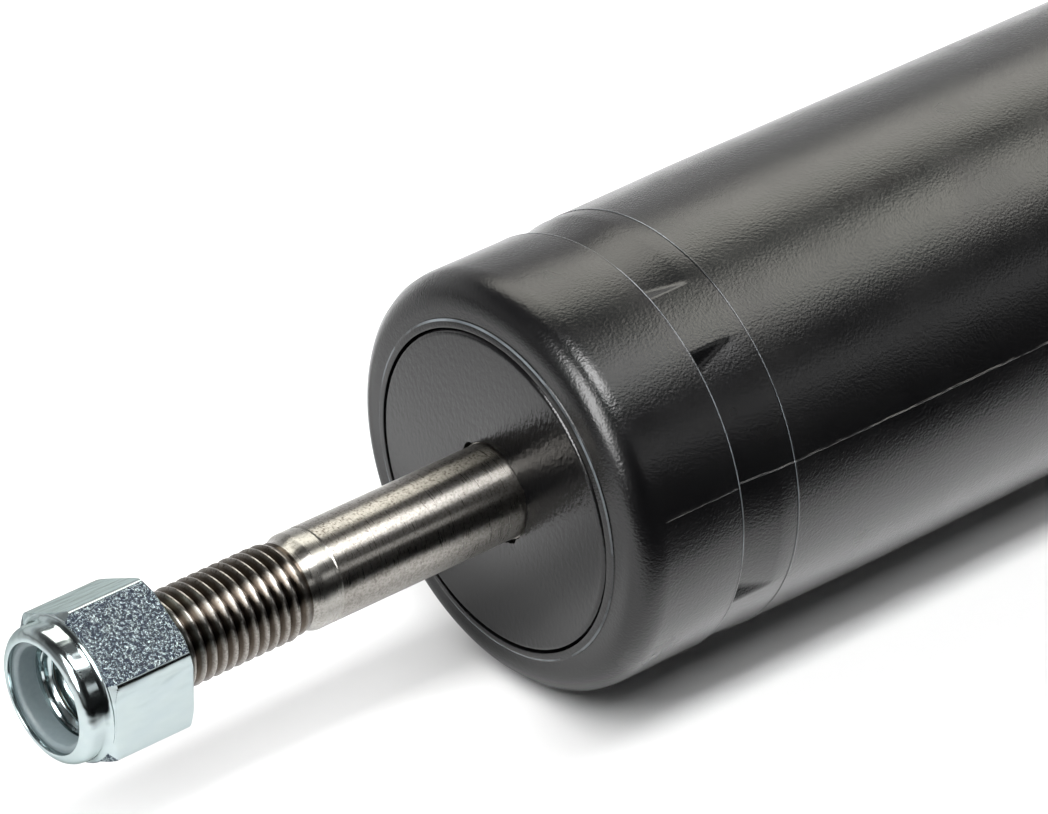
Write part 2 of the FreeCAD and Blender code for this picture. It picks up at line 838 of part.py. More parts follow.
def rebound_bumper():
    body = new_body("rebound_bumper", "bumper_foot")
    turned(body, [
        ("0", "rod_radius + fit_gap"),
        ("0", "bumper_diameter / 2", "bumper_round"),
        ("bumper_length", "bumper_diameter / 2", "bumper_round"),
        ("bumper_length", "rod_radius + fit_gap"),
    ])
    return body


def piston():
    """Piston with its band's groove, a port channel under the check plate and two rings of ports."""
    body = new_body("piston", "piston_foot")
    bore = "spigot_radius + fit_gap"
    low = "(piston_length - band_width) / 2 - running_gap"
    high = "(piston_length + band_width) / 2 + running_gap"
    floor = "band_bore - running_gap"
    seat = "(rebound_port_circle - rebound_port) / 2 - port_margin"
    land = "(rebound_port_circle + rebound_port) / 2 + port_margin"
    channel = "compression_port_circle / 2"
    turned(body, [
        ("0", bore),
        ("0", seat),
        ("port_channel_depth", seat),
        ("port_channel_depth", land),
        ("0", land),
        ("0", "piston_seat_diameter / 2"),
        ("piston_chamfer_length", "piston_radius"),
        (low, "piston_radius"),
        (low, floor),
        (high, floor),
        (high, "piston_radius"),
        ("piston_length", "piston_radius"),
        ("piston_length", f"{channel} + port_channel_width / 2"),
        ("piston_length - port_channel_depth", f"{channel} + port_channel_width / 2"),
        ("piston_length - port_channel_depth", f"{channel} - port_channel_width / 2"),
        ("piston_length", f"{channel} - port_channel_width / 2"),
        ("piston_length", bore),
    ])
    ports(body, "compression_ports", "compression_port_circle", "compression_port", "port_count")
    ports(body, "rebound_ports", "rebound_port_circle", "rebound_port", "port_count")
    return body


def piston_band():
    return washer("piston_band", "piston_foot + (piston_length - band_width) / 2", "band_bore", "band_radius",
                  "band_width")


def check_plate():
    """Plate over the compression ports, notched where the rebound ports pass it."""
    bore = "valve_sleeve_diameter / 2 + plate_gap"
    rim = "(compression_port_circle + port_channel_width) / 2 + check_land"
    body = washer("check_plate", "piston_top", bore, rim, "plate_thickness")
    ports(body, "rebound_notches", "rebound_port_circle", "notch_diameter", "port_count")
    return body


def spring_seat():
    """Ring between the disc stack and the coil spring, with a lip that centres the spring."""
    bore = "nose_radius + plate_gap"
    body = new_body("spring_seat", "piston_foot - bolt_stack - spring_seat_thickness - spring_seat_lip")
    lip = "spring_diameter / 2 - spring_wire - fit_gap"
    turned(body, [
        ("spring_seat_lip", "spring_diameter / 2 + spring_seat_rim"),
        ("spring_seat_lip + spring_seat_thickness", "spring_diameter / 2 + spring_seat_rim"),
        ("spring_seat_lip + spring_seat_thickness", bore),
        ("0", bore),
        ("0", lip),
        ("spring_seat_lip", lip),
    ])
    return body


def rebound_spring():
    """Coil spring between the valve nut's flange and the spring seat."""
    body = new_body("rebound_spring", "valve_nut_seat + spring_wire / 2 + fit_gap")
    sketch = new_sketch(body, "spring_wire_section", "XZ_Plane")
    mean = "(spring_diameter - spring_wire) / 2"
    spot = FreeCAD.Vector(0, value(mean), 0)
    edge = sketch.addGeometry(Part.Circle(spot, FreeCAD.Vector(0, 0, 1), value("spring_wire") / 2), False)
    fix_point(sketch, (edge, 3), "0", mean)
    bind(sketch, "Radius", (edge,), (), "spring_wire / 2")
    feature(body, "AdditiveHelix", sketch, ReferenceAxis=(sketch, ["H_Axis"]), Mode="height-turns-angle",
            Height="spring_height - spring_wire - 2 * fit_gap", Turns="spring_turns")
    return body


def piston_nut():
    """Valve nut: its nose clamps the piston and guides the rebound discs, its flange holds the spring."""
    body = new_body("piston_nut", "valve_nut_foot")
    hexagon(body, "hexagon", "valve_nut_flats", "valve_nut_height")
    bore = "spigot_radius + fit_gap"
    seat = "valve_nut_height + valve_nut_flange_thickness"
    turned(body, [
        ("valve_nut_height", bore),
        ("valve_nut_height", "spring_diameter / 2 + valve_nut_rim"),
        (seat, "spring_diameter / 2 + valve_nut_rim"),
        (seat, "nose_radius"),
        (f"{seat} + nose_length", "nose_radius"),
        (f"{seat} + nose_length", bore),
    ], name="nose")
    turned(body, [
        ("0", "0"),
        ("0", bore),
        (f"{seat} + nose_length", bore),
        (f"{seat} + nose_length", "0"),
    ], kind="Groove", name="bore")
    return body


def piston_group():
    sleeve_bore = "spigot_radius + fit_gap"
    disc_bore = "nose_radius + plate_gap"
    sleeve_drop = "valve_sleeve_length - plate_thickness - fit_gap"
    return [
        piston(),
        piston_band(),
        check_plate(),
        washer("valve_sleeve", "piston_top", sleeve_bore, "valve_sleeve_diameter / 2", "valve_sleeve_length"),
        finger_spring("check_spring", "sleeve_top", sleeve_bore, "valve_sleeve_diameter / 2", sleeve_drop),
        washer("check_stop", "check_stop_foot", sleeve_bore, "check_stop_diameter / 2",
               "check_stop_thickness"),
        washer("rebound_disc", "piston_foot - disc_thickness", disc_bore, "piston_seat_diameter / 2",
               "disc_thickness"),
        washer("rebound_backing_disc", "piston_foot - 2 * disc_thickness", disc_bore, "rebound_backing / 2",
               "disc_thickness"),
        spring_seat(),
        rebound_spring(),
        piston_nut(),
    ]


# Cup, dust cover and lock nut at the head

def cover_cup():
    """Drawn steel cup welded to the rod: a raised disc, a step for the cover's lip and a skirt inside it."""
    body = new_body("cover_cup", "disc_face - cup_height")
    bore = "rod_radius + fit_gap"
    step = "cup_height - cup_step"
    inside = "cup_radius - cup_skirt_wall"
    turned(body, [
        ("0", inside),
        ("0", "cup_radius"),
        (step, "cup_radius", "cup_corner"),
        (step, "cup_disc_radius"),
        ("cup_height", "cup_disc_radius", "cup_disc_round"),
        ("cup_height", bore),
        ("cup_height - cup_wall - cup_weld", bore),
        ("cup_height - cup_wall", f"{bore} + cup_weld"),
        ("cup_height - cup_wall", "cup_disc_radius - cup_wall"),
        (f"{step} - cup_wall", "cup_disc_radius - cup_wall"),
        (f"{step} - cup_wall", inside, "cup_corner - cup_skirt_wall"),
    ])
    return body


def dust_cover():
    """Moulded cover: a cap with a raised lip over the cup, a tapered snap groove with bridges, a long tube."""
    body = new_body("dust_cover", "cover_mouth")
    body.Placement.Rotation = FreeCAD.Rotation(FreeCAD.Vector(1, 0, 0), value("cover_turn"))
    cap_edge = "(cover_length - cap_length)"
    tube_edge = "(cover_length - cap_length - groove_length)"
    bead = f"{cap_edge} - bead_gap"
    lip = "cup_disc_radius + cover_lip_gap"
    turned(body, [
        ("0", "cover_bore"),
        ("0", "cover_radius - cover_mouth_chamfer"),
        ("cover_mouth_chamfer", "cover_radius"),
        (tube_edge, "cover_radius"),
        (tube_edge, "cap_radius"),
        (f"{cap_edge} - groove_taper", "cap_radius"),
        (cap_edge, "groove_radius"),
        (cap_edge, "cap_radius"),
        ("cover_length", "cap_radius", "cap_corner"),
        ("cover_length", f"{lip} + cover_lip_width"),
        ("cover_length + cover_lip_rise - cover_lip_slope", f"{lip} + cover_lip_width"),
        ("cover_length + cover_lip_rise", f"{lip} + cover_lip_land"),
        ("cover_length + cover_lip_rise", lip),
        ("cover_length - cover_wall", lip),
        ("cover_length - cover_wall", "cap_bore", "cap_corner - cover_wall"),
        (bead, "cap_bore"),
        (bead, "bead_radius"),
        (f"{bead} - bead_length", "bead_radius"),
        (tube_edge, "cover_bore"),
    ])
    around(body, bridge(body, tube_edge), "bridge_count")
    return body


def bridge(body, foot):
    """One flush bridge over the snap groove, with a ramp down to the groove's floor on each side."""
    sketch = new_sketch(body, "bridge_section", "YZ_Plane", foot)
    inner = "(groove_radius - bridge_sink)"
    spread = "bridge_ramp * (groove_depth + bridge_sink) / groove_depth"
    rims = (("cap_radius", "bridge_angle / 2"), (inner, f"bridge_angle / 2 + {spread}"))
    ends = []
    for radius, half_angle in rims:
        half = math.radians(value(half_angle))
        circle = Part.Circle(FreeCAD.Vector(), FreeCAD.Vector(0, 0, 1), value(radius))
        arc = sketch.addGeometry(Part.ArcOfCircle(circle, math.pi / 2 - half, math.pi / 2 + half), False)
        sketch.addConstraint(Sketcher.Constraint("Coincident", arc, 3, *SKETCH_ORIGIN))
        bind(sketch, "Radius", (arc,), (), radius)
        reach = f"{radius} * sin(({half_angle}) * 1 deg)"
        bind(sketch, "DistanceX", SKETCH_ORIGIN, (arc, 1), reach)
        bind(sketch, "DistanceX", SKETCH_ORIGIN, (arc, 2), f"-({reach})")
        ends.append(arc)
    for end in (1, 2):
        outer_end, inner_end = (
            FreeCAD.Vector(sketch.getPoint(arc, end)) for arc in ends
        )
        side = sketch.addGeometry(Part.LineSegment(outer_end, inner_end), False)
        sketch.addConstraint(Sketcher.Constraint("Coincident", side, 1, ends[0], end))
        sketch.addConstraint(Sketcher.Constraint("Coincident", side, 2, ends[1], end))
    return feature(body, "Pad", sketch, Length="groove_length")


def lock_nut():
    """Hexagon nut with chamfered corners, a rolled collar and the recess for its nylon ring."""
    body = new_body("lock_nut", "nut_foot")
    body.Placement.Rotation = FreeCAD.Rotation(FreeCAD.Vector(1, 0, 0), value("nut_angle"))
    hexagon(body, "hexagon", "nut_flats", "nut_hex_height")
    beyond = "nut_corner + nut_face_radius"
    drop = "nut_corner * tan(nut_chamfer_angle * 1 deg)"
    for name, near, inward in (("foot_chamfer", "0", "+"), ("head_chamfer", "nut_hex_height", "-")):
        turned(body, [
            (near, "nut_face_radius"),
            (near, beyond),
            (f"{near} {inward} {drop}", beyond),
        ], kind="Groove", name=name)
    collar = "nut_collar_radius"
    recess = "insert_radius + fit_gap"
    turned(body, [
        ("nut_hex_height - nut_lip_thickness", recess),
        ("nut_hex_height - nut_lip_thickness", f"{collar} + nut_shoulder"),
        ("nut_hex_height", f"{collar} + nut_shoulder"),
        ("nut_hex_height + nut_shoulder", collar),
        ("nut_height", collar, "nut_collar_round"),
        ("nut_height", "nut_lip_radius"),
        ("nut_height - nut_lip_thickness", "nut_lip_radius"),
        ("nut_height - nut_lip_thickness", recess),
    ], name="collar")
    seat = "nut_height - nut_lip_thickness - insert_thickness - fit_gap"
    turned(body, [
        ("0", "0"),
        ("0", "nut_bore + nut_countersink"),
        ("nut_countersink", "nut_bore"),
        (seat, "nut_bore"),
        (seat, recess),
        ("nut_height - nut_lip_thickness", recess),
        ("nut_height - nut_lip_thickness", "0"),
    ], kind="Groove", name="bore")
    return body


def head_group():
    return [
        cover_cup(),
        dust_cover(),
        lock_nut(),
        washer("lock_nut_insert", "nut_foot + nut_height - nut_lip_thickness - insert_thickness", "nut_bore",
               "insert_radius", "insert_thickness - fit_gap"),
    ]


def build():
    """Make every sub-part of the shock absorber."""
    parts = [eye_ring(), eye_bush(), eye_sleeve(), base_cap(), reservoir_tube(), pressure_tube()]
    parts += base_valve()
    parts += rod_guide_group()
    parts += [piston_rod(), rebound_stop(), rebound_bumper()]
    parts += piston_group()
    parts += head_group()
    doc.recompute()
    return parts


def check(parts):
    """Stop if a feature failed, a cut removed nothing or a solid isn't sound."""
    for item in doc.Objects:
        if {"Invalid", "Error"} & set(item.State):
            raise RuntimeError(f"{item.Label} failed: {item.State}")
        if item.TypeId in ("PartDesign::Pocket", "PartDesign::Groove"):
            if item.Shape.Volume > item.BaseFeature.Shape.Volume - 1e-6:
                raise RuntimeError(f"{item.Label} cuts nothing")
    for item in parts:
        shape = item.Shape
        if shape.isNull() or not shape.isValid() or len(shape.Solids) != 1:
            raise RuntimeError(f"{item.Label} isn't one sound solid")


parts = build()
check(parts)
os.makedirs("parts", exist_ok=True)
for item in parts:
    item.Shape.exportStep(os.path.join("parts", f"{item.Label}.step"))
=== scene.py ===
"""Telescopic shock absorber: detailed pieces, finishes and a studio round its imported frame."""

import json
import math

import bmesh
import bpy
from bpy.props import FloatProperty, FloatVectorProperty, IntProperty, PointerProperty
from bpy.types import Operator, Panel, PropertyGroup
from mathutils import Matrix, Vector, noise

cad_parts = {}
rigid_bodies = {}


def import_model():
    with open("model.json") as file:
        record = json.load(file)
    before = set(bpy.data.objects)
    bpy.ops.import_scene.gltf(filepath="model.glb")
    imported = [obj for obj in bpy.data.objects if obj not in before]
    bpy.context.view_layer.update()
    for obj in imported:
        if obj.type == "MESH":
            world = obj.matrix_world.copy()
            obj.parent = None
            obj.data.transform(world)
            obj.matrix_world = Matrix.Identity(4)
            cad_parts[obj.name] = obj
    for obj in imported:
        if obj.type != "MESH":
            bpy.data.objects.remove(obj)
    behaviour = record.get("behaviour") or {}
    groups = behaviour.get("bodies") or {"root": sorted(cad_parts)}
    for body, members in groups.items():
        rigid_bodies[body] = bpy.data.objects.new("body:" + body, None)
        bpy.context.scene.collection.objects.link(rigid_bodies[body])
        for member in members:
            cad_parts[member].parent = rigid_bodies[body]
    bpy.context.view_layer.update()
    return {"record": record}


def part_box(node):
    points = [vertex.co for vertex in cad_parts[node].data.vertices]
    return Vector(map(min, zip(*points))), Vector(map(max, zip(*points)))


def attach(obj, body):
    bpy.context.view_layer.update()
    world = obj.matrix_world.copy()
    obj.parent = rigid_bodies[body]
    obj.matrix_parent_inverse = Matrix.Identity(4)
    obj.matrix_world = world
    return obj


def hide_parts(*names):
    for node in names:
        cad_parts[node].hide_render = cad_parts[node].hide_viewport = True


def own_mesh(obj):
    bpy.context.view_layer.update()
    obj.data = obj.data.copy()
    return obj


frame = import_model()

bl_info = {
    "name": "Shock absorber dresser",
    "version": (1, 0, 0),
    "blender": (4, 5, 0),
    "location": "View3D > Sidebar > Shock absorber",
    "description": "Builds the visible pieces, finishes and studio of a telescopic shock absorber",
    "category": "Object",
}

MM = 0.001
TURN = 2 * math.pi
MERGE = 1e-6

# Places along the axis, from the solids they belong to.
DISC_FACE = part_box("cover_cup")[1].x
CUP_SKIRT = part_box("cover_cup")[0].x
COVER_MOUTH, COVER_LIP = (corner.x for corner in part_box("dust_cover"))
ROD_END, STEM_TIP = (corner.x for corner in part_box("piston_rod"))
STOP_FOOT, STOP_TOP = (corner.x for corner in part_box("rebound_stop"))
NUT_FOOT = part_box("lock_nut")[0].x
TUBE_FOOT, TUBE_TOP = (corner.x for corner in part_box("reservoir_tube"))
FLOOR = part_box("dust_cover")[0].z


def linear(code):
    """Linear colour of an sRGB hex code."""
    parts = [int(code[start:start + 2], 16) / 255 for start in (1, 3, 5)]
    return tuple(
        part / 12.92 if part <= 0.04045 else ((part + 0.055) / 1.055) ** 2.4
        for part in parts
    ) + (1.0,)


def size(name, text, millimetres):
    """Length property with its default in millimetres."""
    return FloatProperty(
        name=name, description=text, default=millimetres * MM, unit="LENGTH", precision=5
    )


def mm(group, *names):
    """Lengths of a property group in millimetres."""
    return [getattr(group, name) / MM for name in names]


def turn(name, text, degrees):
    """Angle property with its default in degrees."""
    return FloatProperty(
        name=name, description=text, default=math.radians(degrees), subtype="ANGLE"
    )


def count(name, text, number, least):
    """Number property with its default and its least value."""
    return IntProperty(name=name, description=text, default=number, min=least)


def tint(name, text, code):
    """Colour property with its default as an sRGB hex code."""
    return FloatVectorProperty(
        name=name, description=text, default=linear(code), size=4, min=0, max=1, subtype="COLOR"
    )


class StemSettings(PropertyGroup):
    rod_radius: size("Rod radius", "Radius of the ground rod below the cup", 6.2)
    seat_radius: size("Seat radius", "Radius of the rod under the piston and its valves", 5.0)
    seat_length: size("Seat length", "Length of the rod under the piston and its valves", 44.65)
    seat_chamfer: size("Seat chamfer", "Chamfer at the rod's inner end", 0.8)
    stop_groove: size("Stop groove", "Depth of the groove under the rebound stop", 0.8)
    shank_radius: size("Shank radius", "Radius of the plain shank above the cup", 6.0)
    shank_sink: size("Shank sink", "Depth below the disc at which the shank starts", 0.7)
    shank_length: size("Shank length", "Plain shank from the disc to its shoulder", 29.3)
    ring_place: size("Ring place", "Turned light ring, from the disc", 26.9)
    ring_depth: size("Ring depth", "Depth of the turned ring", 0.14)
    ring_floor: size("Ring floor", "Flat floor of the turned ring", 0.3)
    shoulder_length: size("Shoulder length", "Slope from the shank to the thread's blank", 1.1)
    thread_start: size("Thread start", "First thread, from the disc", 31.1)
    thread_rise: size("Thread rise", "Length over which the thread rises from its blank", 1.6)
    blank_radius: size("Blank radius", "Radius of the rolled thread's blank", 5.55)
    crest_radius: size("Crest radius", "Radius over the thread's crests", 5.925)
    root_radius: size("Root radius", "Radius in the thread's roots", 5.02)
    pitch: size("Pitch", "Rise of the thread in one turn", 1.5)
    crest_width: size("Crest width", "Flat on each crest", 0.2)
    tip_chamfer: size("Tip chamfer", "Chamfer at the stem's tip", 1.0)
    steps: count("Steps", "Facets round the stem", 120, 24)


class NutSettings(PropertyGroup):
    flats: size("Across flats", "Spanner size of the hexagon", 18.0)
    hexagon: size("Hexagon height", "Length of the hexagon", 11.3)
    height: size("Height", "Whole height with the rolled collar", 14.6)
    corner_cut: size("Corner cut", "How far the end chamfers reach in from the corners", 1.25)
    edge_round: size("Edge round", "Rounding of the hexagon's edges", 0.4)
    collar: size("Collar", "Radius of the rolled collar", 8.4)
    shoulder: size("Shoulder", "Slope between the hexagon and the collar", 0.5)
    roll: size("Roll", "Rounding of the collar's rolled rim", 1.5)
    lip: size("Lip", "Radius of the opening in the rolled rim", 6.8)
    lip_thickness: size("Lip thickness", "Thickness of the rim over the nylon ring", 0.7)
    ring_height: size("Ring height", "Height of the nylon ring", 2.7)
    ring_seat: size("Ring seat", "Radius of the seat of the nylon ring", 7.52)
    ring_bore: size("Ring bore", "Radius of the nylon ring's hole", 5.99)
    ring_play: size("Ring play", "Room at each end of the nylon ring", 0.02)
    bore_gap: size("Bore gap", "Room between the nut's bore and the stem's crests", 0.12)
    lead_in: size("Lead-in", "Chamfer at the mouth of the bore", 0.85)
    corner_turn: turn("Corner turn", "Turn of a corner about the axis", -1.6)
    sharpness: count("Sharpness", "Sharpness of the corners", 40, 2)
    thread_gap: size("Thread gap", "Room between the nut's thread and the stem's", 0.06)
    thread_wall: size("Thread wall", "Thickness of the nut's thread", 0.3)
    steps: count("Steps", "Facets round the nut", 720, 60)


class CupSettings(PropertyGroup):
    disc: size("Disc", "Radius of the raised disc", 20.32)
    disc_round: size("Disc round", "Rounding of the disc's rim", 0.7)
    wall: size("Wall", "Thickness of the disc", 2.0)
    ledge: size("Ledge", "Depth of the ledge under the cover", 2.32)
    skirt: size("Skirt", "Radius of the skirt inside the cap", 24.88)
    skirt_wall: size("Skirt wall", "Thickness of the skirt", 1.5)
    corner: size("Corner", "Rounding between the ledge and the skirt", 2.4)
    hole: size("Hole", "Radius of the ragged hole in the paint round the rod", 6.38)
    ragged: size("Ragged", "How far the hole's edge wanders", 0.3)
    torn: size("Torn", "Depth of the hole in the paint", 0.6)
    collar: size("Collar", "Depth of the collar round the rod", 4.6)
    steps: count("Steps", "Facets round the cup", 240, 24)


class CoverSettings(PropertyGroup):
    radius: size("Tube radius", "Outside of the cover's tube", 27.0)
    cap_radius: size("Cap radius", "Outside of the cap and the bridges", 26.7)
    tube_step: size("Tube step", "Step from the bridges up to the tube", 0.06)
    tube_draft: size("Tube draft", "Length over which the tube widens to its full radius", 18.0)
    wall: size("Wall", "Thickness of the moulding", 1.8)
    mouth_chamfer: size("Mouth chamfer", "Chamfer at the open end", 0.6)
    snap_step: size("Snap step", "Depth of the step inside the snap groove", 1.1)
    corner: size("Corner", "Rounding of the cap's front edge", 4.0)
    cap_length: size("Cap length", "From the cap's face to its edge", 15.5)
    lip_radius: size("Lip radius", "Opening round the disc", 20.5)
    lip_width: size("Lip width", "Width of the raised lip", 1.1)
    lip_land: size("Lip land", "Flat on top of the lip", 0.4)
    lip_rise: size("Lip rise", "Height of the lip over the cap's face", 0.4)
    lip_slope: size("Lip slope", "Fall of the lip's top towards its outside", 0.25)
    groove_radius: size("Groove radius", "Floor of the snap groove at the cap's edge", 25.6)
    groove_length: size("Groove length", "From the cap's edge to the tube's edge", 8.3)
    groove_taper: size("Groove taper", "Length of the groove's sloping floor", 6.2)
    bridge_half: turn("Bridge", "Half the width of a bridge", 8.8)
    bridge_ramp: turn("Bridge ramp", "Width of the ramp at each side of a bridge", 4.0)
    ramp_blend: size("Ramp blend", "Softening between a ramp and the groove's floor", 0.25)
    bridge_turn: turn("Bridge turn", "Middle of the first bridge, from +Z towards +Y", 30.0)
    bridges: count("Bridges", "Bridges round the groove", 4, 1)
    parting_turn: turn("Parting line", "Place of the mould's parting line, from +Z towards +Y", 75.0)
    flash_height: size("Flash height", "Height of the flash on the parting line", 0.12)
    flash_width: size("Flash width", "Width of the flash on the parting line", 0.26)
    ridge_height: size("Ridge height", "Height of the fine ridge at the cap's and the tube's edge", 0.05)
    ridge_width: size("Ridge width", "Width of the fine ridge at the cap's and the tube's edge", 0.3)
    steps: count("Steps", "Facets round the cover", 720, 72)


class FootSettings(PropertyGroup):
    tube: size("Tube", "Outside of the reservoir tube", 24.0)
    tube_wall: size("Tube wall", "Thickness of the reservoir tube", 1.5)
    tube_roll: size("Tube roll", "Rounding of the tube's rolled end", 3.0)
    mouth: size("Mouth", "Opening in the rolled end", 15.5)
    eye: size("Eye", "Outside of the eye", 19.0)
    eye_wall: size("Eye wall", "Thickness of the eye", 3.5)
    sleeve: size("Sleeve", "Outside of the bolt sleeve", 9.0)
    sleeve_bore: size("Sleeve bore", "Radius of the bolt hole", 6.1)
    bush_lip: size("Bush lip", "Rubber lip round the sleeve", 1.6)
    bush_hollow: size("Bush hollow", "Depth of the hollow in the rubber's face", 3.4)
    bead: size("Bead", "Radius of a weld bead", 1.5)
    ripple: size("Ripple", "Spacing of the ripples in a weld bead", 2.2)
    ripple_height: size("Ripple height", "Height of the ripples in a weld bead", 0.25)
    steps: count("Steps", "Facets round the reservoir", 160, 24)


class FinishSettings(PropertyGroup):
    plastic: tint("Cover plastic", "Moulded black polypropylene", "#0a0a0b")
    # Pale colour of the painted highlight lines on the lip and the mould's ridges.
    highlit: tint("Rubbed plastic", "Edges of the plastic rubbed pale", "#7b8287")
    paint: tint("Paint", "Black paint on the pressed steel", "#0c0c0d")
    steel: tint("Ground steel", "Ground and oiled steel of the rod", "#9c9994")
    steel_turned: tint("Turned steel", "Bright turned shoulder above the thread", "#a3a19c")
    # The dark colour of the pits also serves as painted shade in the thread's roots.
    steel_pits_and_root_shade: tint("Oiled steel", "Oil and scale in pits and thread roots", "#4a4138")
    zinc: tint("Zinc", "Zinc plating of the nut", "#bac5c4")
    # Painted shade in the hollows of the coarse flats.
    zinc_hollow_shade: tint("Dark zinc", "Blue-grey hollows of the rolled flats", "#1f2940")
    nylon: tint("Nylon", "Nylon ring of the nut", "#78868a")
    rubber: tint("Rubber", "Black rubber of the bush", "#1b1b1c")


class StageSettings(PropertyGroup):
    lens: FloatProperty(name="Lens", description="Focal length", default=208.57, subtype="DISTANCE_CAMERA")
    sensor: FloatProperty(name="Sensor", description="Sensor width", default=36.0, subtype="DISTANCE_CAMERA")
    camera: FloatVectorProperty(
        name="Camera", description="Place of the camera", subtype="TRANSLATION", unit="LENGTH",
        default=(0.86975, 0.4591, 0.3941),
    )
    view: FloatVectorProperty(
        name="View", description="Direction of view", subtype="DIRECTION",
        default=(-0.5414, -0.6447, -0.5396),
    )
    floor: tint("Floor", "Pale floor", "#f2f2f2")
    floor_radius: size("Floor radius", "Radius of the floor", 12000.0)
    floor_middle: size("Floor middle", "Middle of the floor along the axis", 270.0)
    floor_gap: size("Floor gap", "Gap between the object and the floor", 0.2)


# Nodes and materials

def feed(tree, node, inputs):
    """Set a node's inputs, or link them to a socket or to another node's result."""
    for key, given in dict(inputs).items():
        if isinstance(given, bpy.types.Node):
            given = next(socket for socket in given.outputs if socket.enabled)
        if isinstance(given, bpy.types.NodeSocket):
            tree.links.new(given, node.inputs[key])
        else:
            node.inputs[key].default_value = given


def add(tree, kind, inputs=(), **settings):
    """Add a shader node with its settings and inputs."""
    made = tree.nodes.new(f"ShaderNode{kind}")
    for key, setting in settings.items():
        setattr(made, key, setting)
    feed(tree, made, inputs)
    return made


def work_out(tree, operation, *given):
    """Add a step of arithmetic."""
    return add(tree, "Math", enumerate(given), operation=operation)


def ramp(tree, value, start, end, first=0.0, last=1.0):
    """Go from the first number to the last while a value goes from start to end."""
    return add(tree, "MapRange", {
        "Value": value, "From Min": start, "From Max": end, "To Min": first, "To Max": last})


def blend(tree, share, first, second):
    """Mix two colours, the node's sockets 6 and 7, by a share of the second."""
    return add(tree, "Mix", {0: share, 6: first, 7: second}, data_type="RGBA")


def per(millimetres):
    """Texture scale that gives features of a real size."""
    return 1 / (millimetres * MM)


def cloud(tree, place, grain, detail, roughness=0.5):
    """Noise with a grain in millimetres."""
    return add(tree, "TexNoise", {
        "Vector": place, "Scale": per(grain), "Detail": detail, "Roughness": roughness})


def relief(tree, height, strength, depth):
    """Bump with a depth in millimetres."""
    return add(tree, "Bump", {"Height": height, "Strength": strength, "Distance": depth * MM})


def stretched(tree, place, scale):
    """Place scaled along the three axes, to draw a texture out."""
    return add(tree, "Mapping", {"Vector": place, "Scale": scale})


def axes(tree, place):
    """Sockets of a place's X, Y and Z, and its distance from the X axis."""
    across = add(tree, "VectorMath", {0: place, 1: (0, 1, 1)}, operation="MULTIPLY")
    radius = add(tree, "VectorMath", {0: across}, operation="LENGTH")
    return add(tree, "SeparateXYZ", {0: place}).outputs, radius


def begin(name):
    """New material: the material, its tree, its shader and its object coordinates."""
    made = bpy.data.materials.new(name)
    made.use_nodes = True
    tree = made.node_tree
    place = add(tree, "TexCoord").outputs["Object"]
    return made, tree, tree.nodes["Principled BSDF"], place


def moulded_plastic(finish, cover):
    # Moulded polypropylene, spark-eroded mould: a fine pebbled grain that breaks up every highlight,
    # and thin pale lines painted along the lip and the mould's ridges as painted highlights, broken up at
    # random.
    made, tree, shader, place = begin("moulded_polypropylene")
    pebble = add(tree, "TexVoronoi", {"Vector": place, "Scale": per(0.32)}, feature="SMOOTH_F1")
    flow = cloud(tree, place, 9, 3)
    grain = cloud(tree, place, 0.2, 2)
    bump = relief(tree, work_out(tree, "ADD", pebble, grain), 0.45, 0.05)
    shade = blend(tree, grain, finish.plastic, linear("#101011"))
    side, radius = axes(tree, place)
    cap_edge = COVER_LIP - cover.lip_rise - cover.cap_length
    patchy = ramp(tree, flow, 0.38, 0.6, 0.05, 1.0)
    # Painted highlight lines: what is measured, the line's middle and half its width in millimetres.
    lines = (
        (side["X"], cap_edge + cover.ridge_width / 2, 0.06),
        (side["X"], cap_edge - cover.groove_length - cover.ridge_width / 2, 0.045),
        (radius, cover.lip_radius + cover.lip_width - 0.16 * MM, 0.14),
    )
    for value, middle, half in lines:
        line = work_out(tree, "COMPARE", value, middle, half * MM)
        shade = blend(tree, work_out(tree, "MULTIPLY", line, patchy), shade, finish.highlit)
    feed(tree, shader, {
        "Base Color": shade, "Roughness": ramp(tree, flow, 0.3, 0.7, 0.2, 0.28), "Normal": bump, "IOR": 1.5})
    return made


def black_paint(finish):
    # Stoved black paint on pressed steel: soft gloss with a fine orange peel drawn out across the pressing.
    made, tree, shader, place = begin("stoved_black_paint")
    peel = cloud(tree, stretched(tree, place, (1.0, 1.5, 0.9)), 0.75, 2)
    dust = cloud(tree, place, 0.3, 2)
    height = work_out(tree, "MULTIPLY_ADD", dust, 0.25, peel)
    feed(tree, shader, {
        "Base Color": blend(tree, peel, finish.paint, linear("#131314")), "IOR": 1.5,
        "Roughness": ramp(tree, dust, 0, 1, 0.12, 0.22), "Normal": relief(tree, height, 0.6, 0.08)})
    return made


